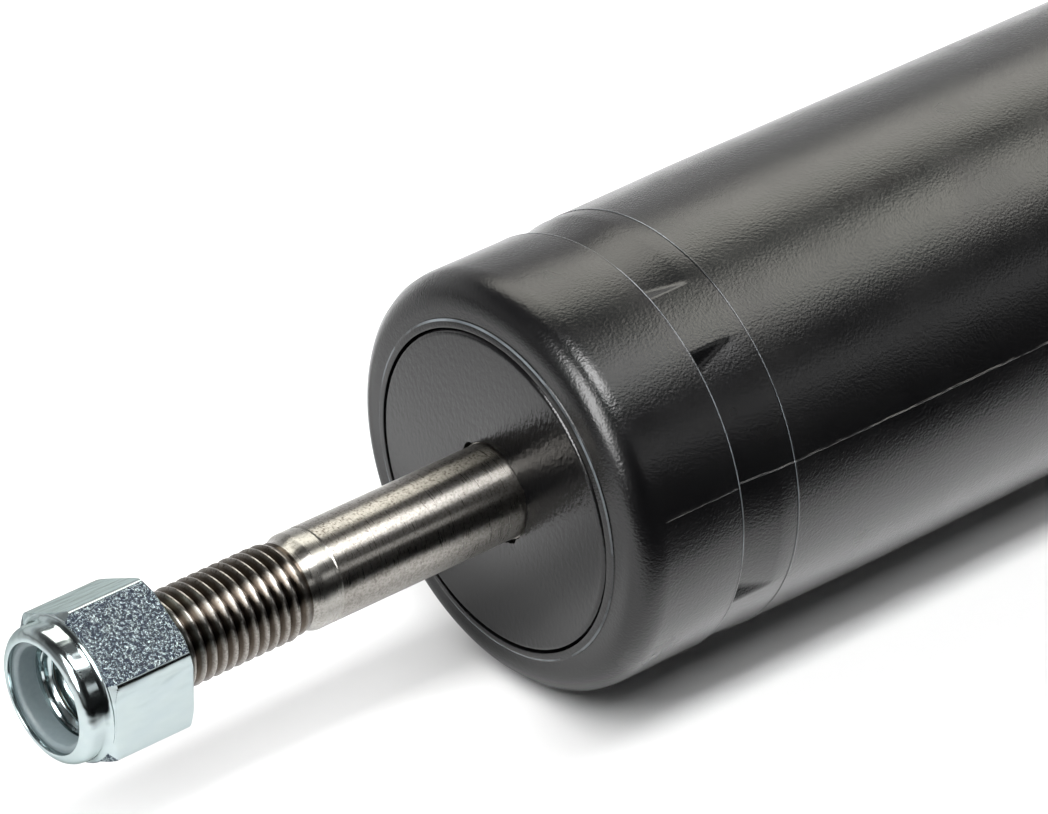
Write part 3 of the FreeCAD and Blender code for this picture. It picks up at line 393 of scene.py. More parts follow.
def ground_steel(finish, stem):
    # Ground carbon steel, lightly oiled: fine scratches round the bar, dark brown pits that grow thicker
    # towards the top and the far side, and painted shade in the thread's roots and lower flanks.
    made, tree, shader, place = begin("ground_oiled_steel")
    side, radius = axes(tree, place)
    # Painted shade: the thread's roots and lower flanks take the dark colour, the crests stay bright.
    crest = ramp(tree, radius, stem.blank_radius - 0.05 * MM, stem.crest_radius - 0.025 * MM, 0.06)
    scratch = cloud(tree, stretched(tree, place, (9.0, 0.7, 0.7)), 1.6, 3)
    pit = cloud(tree, place, 0.32, 3, 0.6)
    # More dark pits towards the top and the far side of the stem.
    slant = work_out(tree, "SUBTRACT", side["Y"], side["Z"])
    top_spot_bias = ramp(tree, slant, -stem.shank_radius, 0, 0.08, -0.03)
    spots = ramp(tree, work_out(tree, "SUBTRACT", pit, top_spot_bias), 0.28, 0.36, 0.3)
    mottle = ramp(tree, pit, 0.35, 0.6, 0.55)
    clean = work_out(tree, "MULTIPLY", spots, mottle)
    bright = work_out(tree, "MULTIPLY", clean, crest)
    oiled = blend(tree, bright, finish.steel_pits_and_root_shade, finish.steel)
    half = (stem.thread_start - stem.ring_place) / 2
    turned_end = work_out(tree, "COMPARE", side["X"], DISC_FACE + stem.ring_place + half, half)
    shade = blend(tree, work_out(tree, "MULTIPLY", turned_end, mottle), oiled, finish.steel_turned)
    threaded = work_out(tree, "GREATER_THAN", side["X"], DISC_FACE + stem.thread_start)
    rough = add(tree, "Mix", {0: threaded, 2: ramp(tree, scratch, 0.3, 0.7, 0.26, 0.34), 3: 0.28})
    height = work_out(tree, "MULTIPLY_ADD", scratch, 0.15, spots)
    feed(tree, shader, {
        "Base Color": shade, "Roughness": rough, "Normal": relief(tree, height, 0.25, 0.03), "Metallic": 1.0,
        "Tangent": add(tree, "Tangent", direction_type="RADIAL", axis="X"),
        "Anisotropic": 0.9, "Anisotropic Rotation": 0.25})
    return made


def zinc_plate(finish, nut):
    # Barrel zinc plating: every other flat has a coarse sparkling relief with painted blue-grey shade in its
    # hollows, the rest are smooth and pale, and the turned collar mirrors in soft streaks.
    made, tree, shader, place = begin("zinc_plated_steel")
    side, radius = axes(tree, place)
    flat = ramp(tree, radius, nut.flats / 2 - 0.15 * MM, nut.flats / 2)
    angle = work_out(tree, "ARCTAN2", side["Y"], side["Z"])
    wave = work_out(tree, "SINE", work_out(tree, "MULTIPLY_ADD", angle, 3.0, 3 * nut.corner_turn))
    other = work_out(tree, "GREATER_THAN", wave, 0.04)
    rolled = work_out(tree, "MULTIPLY", flat, other)
    sparkle = cloud(tree, place, 0.32, 4, 0.8)
    streak = cloud(tree, stretched(tree, place, (0.5, 1.0, 1.0)), 1.6, 1)
    bump = relief(tree, streak, 0.6, 0.14)
    feed(tree, bump, {"Normal": relief(tree, sparkle, rolled, 0.22)})
    pale = blend(tree, streak, finish.zinc, linear("#aebabe"))
    # Painted shade: the low spots of the sparkle's relief on the coarse flats are darkened blue-grey.
    hollow = ramp(tree, sparkle, 0.48, 0.62, 0.95, 0.0)
    painted_hollow_shade = work_out(tree, "MULTIPLY", rolled, hollow)
    feed(tree, shader, {
        "Base Color": blend(tree, painted_hollow_shade, pale, finish.zinc_hollow_shade), "Normal": bump, "Roughness": 0.16,
        "Specular Tint": linear("#b4bcba"), "Metallic": 1.0})
    return made


def plain(name, first, second, grain, roughness, metallic=0.0):
    # Finish with one grain: a second tone and a fine relief at the grain's size.
    made, tree, shader, place = begin(name)
    speck = cloud(tree, place, grain, 3)
    feed(tree, shader, {
        "Base Color": blend(tree, speck, first, second), "Normal": relief(tree, speck, 0.3, 0.03),
        "Roughness": ramp(tree, speck, 0, 1, roughness - 0.08, roughness + 0.08), "Metallic": metallic})
    return made


def finish_named(name):
    """Material of a record slot, made once."""
    scene = bpy.context.scene
    finish = scene.shock_finish
    makers = {
        "grained_plastic": lambda: moulded_plastic(finish, scene.shock_cover),
        "painted_steel": lambda: black_paint(finish),
        "ground_steel": lambda: ground_steel(finish, scene.shock_stem),
        "zinc_plated_steel": lambda: zinc_plate(finish, scene.shock_nut),
        # Nylon ring: matt, cloudy, slightly waxy.
        "nylon": lambda: plain("extruded_nylon", finish.nylon, linear("#8a979a"), 0.6, 0.45),
        # Moulded rubber: deep black, dull, faint bloom.
        "rubber": lambda: plain("moulded_rubber", finish.rubber, linear("#262627"), 0.8, 0.68),
        # Drawn and stamped steel: grey with a soft lustre.
        "plain_steel": lambda: plain("drawn_steel", linear("#8f8f8d"), linear("#a4a4a1"), 0.7, 0.34, 1.0),
        # Sintered iron: dark grey with open pores.
        "sintered_iron": lambda: plain("sintered_iron", linear("#4b4a48"), linear("#6a6966"), 0.4, 0.5, 1.0),
        # Bronze bush: warm and fine-grained.
        "bronze": lambda: plain("turned_bronze", linear("#a07a45"), linear("#b58d55"), 0.5, 0.32, 1.0),
        # Filled polymer band: brown-grey and dull.
        "band_plastic": lambda: plain("filled_polymer", linear("#4a3f35"), linear("#5a4e42"), 0.4, 0.5),
    }
    key = f"finish_{name}"
    kept = next((made for made in bpy.data.materials if made.get("slot") == key), None)
    if kept is None:
        kept = makers[name]()
        kept["slot"] = key
    return kept


# Mesh helpers

def section(bm, corners, at, closed=True):
    """Draw a half section in the XZ plane from corners of (along, radius, rounding) in millimetres."""
    spots = [bm.verts.new((at + along * MM, 0, radius * MM)) for along, radius, _ in corners]
    nexts = spots[1:] + spots[:1] if closed else spots[1:]
    for one, two in zip(spots, nexts):
        bm.edges.new((one, two))
    for spot, (_, _, rounding) in zip(spots, corners):
        if rounding:
            bmesh.ops.bevel(
                bm, geom=[spot], offset=rounding * MM, offset_type="OFFSET", segments=5, profile=0.5,
                affect="VERTICES", material=-1, clamp_overlap=True,
            )


def divide(bm, longest):
    """Cut the wire's long edges into equal stretches."""
    for edge in bm.edges[:]:
        cuts = int(edge.calc_length() / (longest * MM))
        if cuts:
            bmesh.ops.subdivide_edges(bm, edges=[edge], cuts=cuts)


def weld(bm):
    """Merge doubles and point every face outwards."""
    bmesh.ops.remove_doubles(bm, verts=bm.verts[:], dist=MERGE)
    bmesh.ops.dissolve_degenerate(bm, edges=bm.edges[:], dist=MERGE)
    bmesh.ops.recalc_face_normals(bm, faces=bm.faces[:])


def rotate(bm, angle, axis, verts=None):
    """Turn a mesh, or some of its vertices, about an axis."""
    bmesh.ops.rotate(bm, verts=verts or bm.verts[:], cent=(0, 0, 0), matrix=Matrix.Rotation(angle, 3, axis))


def swept(bm, steps, rise=0.0):
    """Spin the wire a full turn about X, rising along it: an eighth by steps, then doubled three times."""
    reach = TURN / 8
    bmesh.ops.spin(
        bm, geom=bm.verts[:] + bm.edges[:], cent=(0, 0, 0), axis=(1, 0, 0), dvec=(rise / steps, 0, 0),
        angle=reach, steps=steps // 8, use_merge=False,
    )
    while reach < 0.99 * TURN:
        copied = bmesh.ops.duplicate(bm, geom=bm.verts[:] + bm.edges[:] + bm.faces[:])["geom"]
        verts = [item for item in copied if isinstance(item, bmesh.types.BMVert)]
        rotate(bm, reach, "X", verts)
        bmesh.ops.translate(bm, verts=verts, vec=(rise * reach / TURN, 0, 0))
        reach *= 2
    weld(bm)


def turned(corners, at, steps, closed=True, longest=None):
    """Solid of a half section spun about X."""
    bm = bmesh.new()
    section(bm, corners, at, closed)
    if longest:
        divide(bm, longest)
    swept(bm, steps)
    return bm


def polar(vert):
    """Radius of a vertex about X, and its angle from +Z towards +Y."""
    return math.hypot(vert.co.y, vert.co.z), math.atan2(vert.co.y, vert.co.z)


def set_radius(vert, radius):
    """Move a vertex to a radius about X."""
    now = math.hypot(vert.co.y, vert.co.z)
    if now > MERGE:
        vert.co.y *= radius / now
        vert.co.z *= radius / now


def away(angle, middle, period):
    """Distance of an angle from the nearest of the middles that repeat each period."""
    return abs((angle - middle + period / 2) % period - period / 2)


def rounded_hexagon(angle, half, sharpness):
    """Radius of a hexagon with softened corners, for half its size across flats."""
    off = away(angle, math.radians(30), math.radians(60))
    sides = (math.cos(off), math.cos(math.radians(60) - off))
    return half / sum(side ** sharpness for side in sides) ** (1 / sharpness)


def end_round(inset, rounding):
    """Fall of a rounded edge at an inset from the end."""
    short = max(0, rounding - max(0, inset))
    return rounding - math.sqrt(rounding ** 2 - short ** 2)


def mesh_of(name, bm):
    """Turn a bmesh into a mesh."""
    mesh = bpy.data.meshes.new(name)
    bm.to_mesh(mesh)
    bm.free()
    return mesh


def show(name, data):
    """Put an object with this data into the scene."""
    made = bpy.data.objects.new(name, data)
    bpy.context.scene.collection.objects.link(made)
    return made


def join(bm, other):
    """Add another mesh to this one."""
    spare = mesh_of("spare", other)
    bm.from_mesh(spare)
    bpy.data.meshes.remove(spare)


def piece(name, bm, node, stands=True, crease=32):
    """Make a piece of a mesh, with the body and the finish of the solid that it stands for or sits on."""
    record = frame["record"]
    body = next(key for key, nodes in record["behaviour"]["bodies"].items() if node in nodes)
    slot = next(row["material_slot"] for row in record["subparts"] if row["node"] == node)
    mesh = mesh_of(name, bm)
    mesh.materials.append(finish_named(slot))
    mesh.shade_smooth()
    mesh.set_sharp_from_angle(angle=math.radians(crease))
    made = show(name, mesh)
    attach(made, body)
    if stands:
        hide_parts(node)
    return made


def helix(stem, start, end, gap):
    """Threaded surface between two places from the disc, at a radial gap outside the stem's own thread."""
    bm = bmesh.new()
    pitch = stem.pitch / MM
    half = stem.crest_width / MM / 2
    root, crest = (radius / MM + gap for radius in (stem.root_radius, stem.crest_radius))
    corners = []
    for lap in range(int(start / pitch) - 2, int(end / pitch) + 2):
        foot = lap * pitch
        corners += [
            (foot, root, 0.12),
            (foot + pitch / 2 - half, crest, 0.05),
            (foot + pitch / 2 + half, crest, 0.05),
        ]
    section(bm, corners, DISC_FACE, closed=False)
    swept(bm, stem.steps, stem.pitch)
    for place, outwards in ((start, -1), (end, 1)):
        bmesh.ops.bisect_plane(
            bm, geom=bm.verts[:] + bm.edges[:] + bm.faces[:], dist=MERGE,
            plane_co=(DISC_FACE + place * MM, 0, 0), plane_no=(outwards, 0, 0), clear_outer=True,
        )
    return bm


# Operators, one for each piece or group of like pieces

class SHOCK_OT_stem(Operator):
    """Ground rod with its shank, turned ring and rolled thread"""
    bl_idname = "shock.stem"
    bl_label = "Rod and stem"

    def execute(self, context):
        stem = context.scene.shock_stem
        rod, shank, sink, blank, ring, shoulder, first = mm(
            stem, "rod_radius", "shank_radius", "shank_sink", "blank_radius", "ring_place", "shank_length",
            "thread_start")
        seat, seat_length, chamfer, stop, depth, flat, slope = mm(
            stem, "seat_radius", "seat_length", "seat_chamfer", "stop_groove", "ring_depth", "ring_floor",
            "shoulder_length")
        foot, stop_foot, stop_top = ((place - DISC_FACE) / MM for place in (ROD_END, STOP_FOOT, STOP_TOP))
        bm = turned([
            (foot, 0, 0), (foot, seat - chamfer, 0), (foot + chamfer, seat, 0),
            (foot + seat_length, seat, 0), (foot + seat_length, rod, 0.2),
            (stop_foot, rod, 0), (stop_foot, rod - stop, 0), (stop_top, rod - stop, 0), (stop_top, rod, 0),
            (-sink, rod, 0), (-sink, shank, 0),
            (ring, shank, 0.03), (ring + depth, shank - depth, 0), (ring + depth + flat, shank - depth, 0),
            (ring + 2 * depth + flat, shank, 0.03),
            (shoulder, shank, 0.15), (shoulder + slope, blank, 0.3),
            (first + 0.1, blank, 0), (first + 0.1, 0, 0),
        ], DISC_FACE, stem.steps, closed=False)
        last = (STEM_TIP - DISC_FACE) / MM
        thread = helix(stem, first, last, 0)
        for vert in thread.verts:
            radius, _ = polar(vert)
            along = vert.co.x - DISC_FACE - stem.thread_start
            rise = min(1, max(0, along / stem.thread_rise))
            radius = stem.blank_radius + (radius - stem.blank_radius) * rise
            tip = stem.crest_radius - max(0, vert.co.x - (STEM_TIP - stem.tip_chamfer))
            set_radius(vert, min(radius, tip))
        rims = [edge for edge in thread.edges if edge.is_boundary]
        bmesh.ops.holes_fill(thread, edges=rims, sides=0)
        weld(thread)
        join(bm, thread)
        piece("rod_and_stem", bm, "piston_rod", crease=28)
        return {"FINISHED"}


class SHOCK_OT_lock_nut(Operator):
    """Plated hexagon lock nut with its rolled collar, thread and nylon ring"""
    bl_idname = "shock.lock_nut"
    bl_label = "Lock nut"

    def execute(self, context):
        nut, stem = context.scene.shock_nut, context.scene.shock_stem
        half, cut, edge, top, high, collar, shoulder, roll, lip, rim, ring = mm(
            nut, "flats", "corner_cut", "edge_round", "hexagon", "height", "collar", "shoulder", "roll",
            "lip", "lip_thickness", "ring_height")
        pocket, hole, play, lead = mm(nut, "ring_seat", "ring_bore", "ring_play", "lead_in")
        half /= 2
        bore = (stem.crest_radius + nut.bore_gap) / MM
        corner = half / math.cos(math.pi / 6)
        chamfer = cut * math.tan(math.radians(30))
        rows = [place * edge / 6 for place in range(10)] + list(range(1, int(top)))
        rows = sorted({round(row, 3) for row in rows + [top - row for row in rows]})
        side = [(row, corner, 0) for row in rows if chamfer < row < top - chamfer]
        taper = [(row, corner - cut + row / chamfer * cut, 0) for row in rows if row <= chamfer]
        mirrored = [(top - row, radius, 0) for row, radius, _ in reversed(taper)]
        seat = high - rim - ring - play
        bm = turned(taper + side + mirrored + [
            (top, collar + shoulder, 0.3), (top + shoulder, collar, 0.4), (high, collar, roll),
            (high, lip, 0.25), (high - rim, lip, 0.1), (high - rim, pocket, 0), (seat, pocket, 0),
            (seat, bore, 0), (lead, bore, 0), (0, bore + lead, 0.05),
        ], NUT_FOOT, nut.steps)
        for vert in bm.verts:
            radius, angle = polar(vert)
            along = (vert.co.x - NUT_FOOT) / MM
            limit = rounded_hexagon(angle, half, nut.sharpness) - end_round(min(along, top - along), edge)
            if along < top + MERGE / MM and radius > limit * MM:
                set_radius(vert, limit * MM)
        weld(bm)
        foot = (NUT_FOOT - DISC_FACE) / MM
        thread = helix(stem, foot + lead - 0.15, foot + seat - 0.1, nut.thread_gap / MM)
        bmesh.ops.recalc_face_normals(thread, faces=thread.faces[:])
        middle = next(iter(thread.faces))
        spot = middle.calc_center_median()
        if middle.normal.y * spot.y + middle.normal.z * spot.z > 0:
            bmesh.ops.reverse_faces(thread, faces=thread.faces[:])
        bmesh.ops.solidify(thread, geom=thread.faces[:], thickness=-nut.thread_wall)
        join(bm, thread)
        rotate(bm, nut.corner_turn, "X")
        piece("plated_lock_nut", bm, "lock_nut", crease=25)
        low, end, outside = seat + play, high - rim - play, pocket - 2 * play
        nylon = turned([
            (low, hole, 0), (low, outside, 0), (end, outside, 0), (end, hole + 0.21, 0.3),
            (high - rim - 0.4, hole, 0.1),
        ], NUT_FOOT, nut.steps // 4)
        piece("nylon_ring", nylon, "lock_nut_insert")
        return {"FINISHED"}


class SHOCK_OT_cup(Operator):
    """Painted cup on the rod, with the ragged edge of the paint round it"""
    bl_idname = "shock.cup"
    bl_label = "Painted cup"

    def execute(self, context):
        cup = context.scene.shock_cup
        disc, rim, wall, ledge, skirt, skirt_wall, corner, hole, torn, collar = mm(
            cup, "disc", "disc_round", "wall", "ledge", "skirt", "skirt_wall", "corner", "hole", "torn",
            "collar")
        bore = context.scene.shock_stem.rod_radius / MM + 0.02
        foot = (CUP_SKIRT - DISC_FACE) / MM
        bm = turned([
            (foot, skirt - skirt_wall, 0.2), (foot, skirt, 0.2), (-ledge, skirt, corner), (-ledge, disc, 0.3),
            (0, disc, rim), (0, hole + 1.5, 0), (0, hole, 0.1), (-torn, hole - 0.2, 0), (-torn, bore, 0),
            (-collar, bore, 0), (-wall, bore + collar - wall, 0.6), (-wall, disc - wall, 1.0),
            (-ledge - wall, disc - wall, 0.6), (-ledge - wall, skirt - skirt_wall, corner - skirt_wall),
        ], DISC_FACE, cup.steps)
        inner, outer = cup.hole - 0.3 * MM, cup.hole + 0.5 * MM
        for vert in bm.verts:
            radius, angle = polar(vert)
            if inner < radius < outer and vert.co.x > DISC_FACE - cup.torn - 0.1 * MM:
                wander = noise.fractal(Vector((math.sin(angle), math.cos(angle), 0.3)) * 4, 0.6, 2.0, 4)
                set_radius(vert, max(radius + wander * cup.ragged, bore * MM))
        piece("painted_cup", bm, "cover_cup")
        return {"FINISHED"}


def cover_outside(cover):
    """Outer corners of the dust cover from its mouth to its lip, and the place of the cap's face."""
    tube, cap, step, draft, corner, cap_length, lip, lip_width, land, rise, slope = mm(
        cover, "radius", "cap_radius", "tube_step", "tube_draft", "corner", "cap_length", "lip_radius",
        "lip_width", "lip_land", "lip_rise", "lip_slope")
    groove, groove_length, taper, ridge, wide, chamfer = mm(
        cover, "groove_radius", "groove_length", "groove_taper", "ridge_height", "ridge_width",
        "mouth_chamfer")
    face = COVER_LIP - cover.lip_rise
    mouth = (COVER_MOUTH - face) / MM
    foot = -cap_length - groove_length
    slopes = [share / 14 for share in range(15)]
    floor = [(-cap_length - taper * (1 - share), cap + (groove - cap) * share, 0) for share in slopes]
    front = [
        (-cap_length, cap, 0.03), (wide / 2 - cap_length, cap + ridge, 0.1), (wide - cap_length, cap, 0.05),
        (0, cap, corner), (0, lip + lip_width, 0.1),
        (rise - slope, lip + lip_width, 0.08), (rise, lip + land, 0.3), (rise, lip, 0.12),
    ]
    back = [
        (mouth, tube - chamfer, 0), (mouth + chamfer, tube, 0.2), (foot - draft, tube, 0),
        (foot - wide, cap + step, 0.05), (foot - wide / 2, cap + step + ridge, 0.1), (foot, cap, 0),
    ]
    return back + floor + front, face


class SHOCK_OT_cover(Operator):
    """Moulded dust cover: cap with its lip, snap groove with its bridges and tube"""
    bl_idname = "shock.cover"
    bl_label = "Dust cover"

    def execute(self, context):
        cover = context.scene.shock_cover
        cap, wall, length, groove_length, lip, corner, snap = mm(
            cover, "cap_radius", "wall", "cap_length", "groove_length", "lip_radius", "corner", "snap_step")
        outside, face = cover_outside(cover)
        bore = cover.radius / MM - wall
        inside = [
            (-wall, lip, 0.1), (-wall, cap - wall, corner - wall), (-length - 0.2, cap - wall, 0),
            (-length - 0.2, cap - wall - snap, 0.2), (-length - 2, cap - wall - snap, 0.2),
            (-length - groove_length, bore, 0.5), ((COVER_MOUTH - face) / MM, bore, 0.3),
        ]
        bm = turned(outside + inside, face, cover.steps)
        low = face - cover.cap_length - cover.groove_length
        high = face - cover.cap_length
        depth = cover.cap_radius - cover.groove_radius
        for vert in bm.verts:
            radius, angle = polar(vert)
            if low < vert.co.x < high + MERGE and cover.groove_radius - MERGE < radius < cover.cap_radius:
                off = away(angle, cover.bridge_turn, TURN / cover.bridges) - cover.bridge_half
                slope = cover.cap_radius - depth * max(0, off) / cover.bridge_ramp
                fillet = max(0, cover.ramp_blend - abs(radius - slope)) ** 2 / (4 * cover.ramp_blend)
                set_radius(vert, min(max(radius, slope) + fillet, cover.cap_radius))
        weld(bm)
        piece("moulded_dust_cover", bm, "dust_cover")
        return {"FINISHED"}


class SHOCK_OT_flash(Operator):
    """Thin broken flash along the two parting lines of the dust cover"""
    bl_idname = "shock.flash"
    bl_label = "Parting flash"

    def execute(self, context):
        cover = context.scene.shock_cover
        outside, face = cover_outside(cover)
        corner = next(place for place, row in enumerate(outside) if row[2] == cover.corner / MM)
        run = outside[1:corner] + [(-cover.corner / MM, cover.cap_radius / MM, 0)]
        spread = cover.flash_width / cover.radius
        both = bmesh.new()
        for start in (cover.parting_turn, cover.parting_turn + math.pi):
            bm = bmesh.new()
            section(bm, run, face, closed=False)
            divide(bm, 0.4)
            rotate(bm, -start - spread / 2, "X")
            bmesh.ops.spin(
                bm, geom=bm.verts[:] + bm.edges[:], cent=(0, 0, 0), axis=(1, 0, 0), angle=spread, steps=4,
                use_merge=False,
            )
            for vert in bm.verts:
                radius, angle = polar(vert)
                along = vert.co.x / MM
                bow = 1 - (2 * away(angle, start, TURN) / spread) ** 2
                share = 0.5 if vert.co.x > face - cover.cap_length else 1.0
                high = share * (noise.fractal(Vector((along / 3, start, 0)), 0.7, 2.2, 5) + 0.8)
                set_radius(vert, radius + bow * high * cover.flash_height - 0.01 * MM)
                wander = noise.fractal(Vector((along / 2, start, 5)), 0.6, 2.0, 4) * cover.flash_width / 3
                vert.co.z += wander if math.sin(start) > 0 else -wander
            weld(bm)
            join(both, bm)
        piece("parting_flash", both, "dust_cover", stands=False)
        return {"FINISHED"}


class SHOCK_OT_reservoir(Operator):
    """Painted reservoir tube with the rippled weld bead at its foot"""
    bl_idname = "shock.reservoir"
    bl_label = "Reservoir"

    def execute(self, context):
        foot = context.scene.shock_foot
        tube, wall, roll, mouth, bead = mm(foot, "tube", "tube_wall", "tube_roll", "mouth", "bead")
        length = (TUBE_TOP - TUBE_FOOT) / MM
        bm = turned([
            (0, tube - wall, 0.2), (0, tube, 0.3), (length, tube, roll), (length, mouth, 0.4),
            (length - wall, mouth, 0), (length - wall, tube - wall, roll - wall),
        ], TUBE_FOOT, foot.steps)
        piece("painted_reservoir", bm, "reservoir_tube")
        ring = turned([
            (-bead, tube - wall - 0.1, 0.4), (-0.6, tube, bead / 2), (0.8, tube + 0.25, 0.3),
            (0.8, tube - 0.3, 0), (0, tube - wall - 0.1, 0),
        ], TUBE_FOOT, 3 * foot.steps)
        for vert in ring.verts:
            radius, angle = polar(vert)
            wave = abs(math.sin(angle * foot.tube / foot.ripple)) * foot.ripple_height
            wander = noise.noise(Vector((math.sin(angle), math.cos(angle), 0)) * 9) * 0.12 * MM
            if vert.co.x < TUBE_FOOT - 0.1 * MM:
                vert.co.x += wander + wave - 0.2 * MM
            set_radius(vert, radius + wander)
        piece("foot_weld", ring, "reservoir_tube", stands=False)
        return {"FINISHED"}


class SHOCK_OT_eye(Operator):
    """Eye at the foot with its rubber bush and bolt sleeve"""
    bl_idname = "shock.eye"
    bl_label = "Eye, bush and sleeve"

    def execute(self, context):
        foot = context.scene.shock_foot
        eye, eye_wall, sleeve, bore, lip, hollow = mm(
            foot, "eye", "eye_wall", "sleeve", "sleeve_bore", "bush_lip", "bush_hollow")
        inner = eye - eye_wall
        ring, bush, tube = (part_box(name)[1].y / MM for name in ("eye_ring", "eye_bush", "eye_sleeve"))
        middle = (sleeve + inner + lip) / 2
        solids = {
            "painted_eye": ("eye_ring", [
                (-ring, inner, 0.3), (-ring, eye, 0.8), (ring, eye, 0.8), (ring, inner, 0.3)]),
            "rubber_bush": ("eye_bush", [
                (-bush, sleeve + 0.05, 0), (-bush, sleeve + lip, 0.6), (hollow - bush, middle, 1.4),
                (-ring, inner - 0.02, 0.3), (ring, inner - 0.02, 0.3), (bush - hollow, middle, 1.4),
                (bush, sleeve + lip, 0.6), (bush, sleeve + 0.05, 0)]),
            "bolt_sleeve": ("eye_sleeve", [
                (-tube, bore, 0.3), (-tube, sleeve, 0.6), (tube, sleeve, 0.6), (tube, bore, 0.3)]),
        }
        for name, (node, corners) in solids.items():
            bm = turned(corners, 0, 3 * foot.steps // 4)
            rotate(bm, TURN / 4, "Z")
            piece(name, bm, node)
        return {"FINISHED"}


class SHOCK_OT_springs(Operator):
    """Valve springs, each a smooth copy of its solid with a mesh of its own"""
    bl_idname = "shock.springs"
    bl_label = "Valve springs"

    def execute(self, context):
        for joint in frame["record"]["behaviour"]["joints"]:
            for row in joint.get("deforming_nodes", ()):
                node, held = row["node"], row["fixed_end_x_m"]
                bm = bmesh.new()
                bm.from_mesh(bpy.data.objects[node].data)
                weld(bm)
                made = piece(f"sprung_{node}", bm, node)
                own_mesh(made)
        return {"FINISHED"}


class SHOCK_OT_inner(Operator):
    """Finishes of the solids that are kept as they are"""
    bl_idname = "shock.inner"
    bl_label = "Kept solids"

    def execute(self, context):
        for row in frame["record"]["subparts"]:
            for held in bpy.data.objects[row["node"]].material_slots:
                held.material = finish_named(row["material_slot"])
        return {"FINISHED"}


# Stage

# Soft boxes, each seen in reflections or lighting matt surfaces: name, place, aim along X, length, width,
# power, seen in reflections, colour.
LAMPS = (
    ("rear_box", (0.0, -0.41, 0.565), 0.0, 1.2, 0.40, 4.9, True, "#fffdf3"),
    ("tube_box", (-0.31, 0.15, 0.675), -0.31, 0.7, 0.37, 3.8, True, "#fffdf3"),
    ("stem_box", (0.23, 0.28, 0.635), 0.23, 0.38, 0.29, 1.05, True, "#ffffff"),
    ("end_box", (0.57, 0.25, 0.65), 0.57, 0.26, 0.26, 3.6, True, "#ffffff"),
    ("front_box", (1.09, 0.15, 0.35), 0.49, 0.28, 0.50, 5.6, True, "#ffffff"),
    ("low_box", (0.0, 0.63, 0.31), 0.0, 1.0, 0.14, 0.42, True, "#ffffff"),
    ("key_wash", (0.75, 0.25, 0.75), 0.75, 1.5, 0.18, 9.4, False, "#ffffff"),
    ("low_wash", (0.75, 0.43, 0.66), 0.75, 1.5, 0.22, 2.3, False, "#ffffff"),
    ("far_wash", (0.75, -0.53, 0.59), 0.75, 1.5, 0.45, 9.5, False, "#ffffff"),
)
# Walls of the room: direction, cosine from it where the glow starts and where it is full, glow.
WALLS = (
    ((-0.75, -0.66, 0), -0.1, 0.5, 1.0),
    ((0.98, -0.2, 0), 0.4, 0.9, 0.3),
)


class SHOCK_OT_stage(Operator):
    """Pale floor, soft boxes and the camera"""
    bl_idname = "shock.stage"
    bl_label = "Studio"

    def execute(self, context):
        scene = context.scene
        stage = scene.shock_stage
        scene.view_settings.view_transform = "Standard"
        lens = bpy.data.cameras.new("photo_camera")
        lens.lens, lens.sensor_width, lens.sensor_fit = stage.lens, stage.sensor, "HORIZONTAL"
        lens.clip_start, lens.clip_end = 0.01, 100
        camera = show("photo_camera", lens)
        camera.location = stage.camera
        camera.rotation_euler = Vector(stage.view).to_track_quat("-Z", "Y").to_euler()
        scene.camera = camera
        for name, spot, aim, long, wide, power, reflected, glow in LAMPS:
            box = bpy.data.lights.new(name, "AREA")
            box.shape, box.size, box.size_y, box.energy = "RECTANGLE", long, wide, power
            box.color = linear(glow)[:3]
            lamp = show(name, box)
            lamp.location = spot
            lamp.rotation_euler = (Vector((aim, 0, 0)) - lamp.location).to_track_quat("-Z", "Y").to_euler()
            lamp.visible_camera = False
            lamp.visible_glossy = reflected
            lamp.visible_diffuse = not reflected
        scene.world = studio_room()
        bm = bmesh.new()
        bmesh.ops.create_circle(bm, cap_ends=True, segments=96, radius=stage.floor_radius)
        bmesh.ops.translate(bm, verts=bm.verts[:], vec=(stage.floor_middle, 0, FLOOR - stage.floor_gap))
        mesh = mesh_of("floor", bm)
        mesh.materials.append(floor_paper(stage))
        floor = show("floor", mesh)
        return {"FINISHED"}


def studio_room():
    # Pale walls behind the object and at its stem's end, dark elsewhere; the camera itself sees plain white.
    made = bpy.data.worlds.new("studio_room")
    made.use_nodes = True
    tree = made.node_tree
    look = add(tree, "TexCoord").outputs["Generated"]
    walls = []
    for facing, near, far, glow in WALLS:
        cosine = add(tree, "VectorMath", {0: look, 1: facing}, operation="DOT_PRODUCT")
        walls.append(ramp(tree, cosine, near, far, 0.005, glow))
    height = add(tree, "SeparateXYZ", {0: look}).outputs["Z"]
    room = work_out(tree, "MULTIPLY", work_out(tree, "ADD", *walls), ramp(tree, height, 0.2, 0.5, 1.0, 0.2))
    seen = work_out(tree, "MAXIMUM", room, add(tree, "LightPath").outputs["Is Camera Ray"])
    feed(tree, tree.nodes["Background"], {"Strength": seen, "Color": linear("#ffffff")})
    return made


def off_middle(tree, place, middle, half):
    """Distance from the middle of an ellipse on the floor, as a share of its half axes."""
    shift = [-spot / reach for spot, reach in zip(middle, half)]
    moved = add(tree, "Mapping", {
        "Vector": place, "Location": (*shift, 0), "Scale": (1 / half[0], 1 / half[1], 0)})
    return add(tree, "VectorMath", {0: moved}, operation="LENGTH")


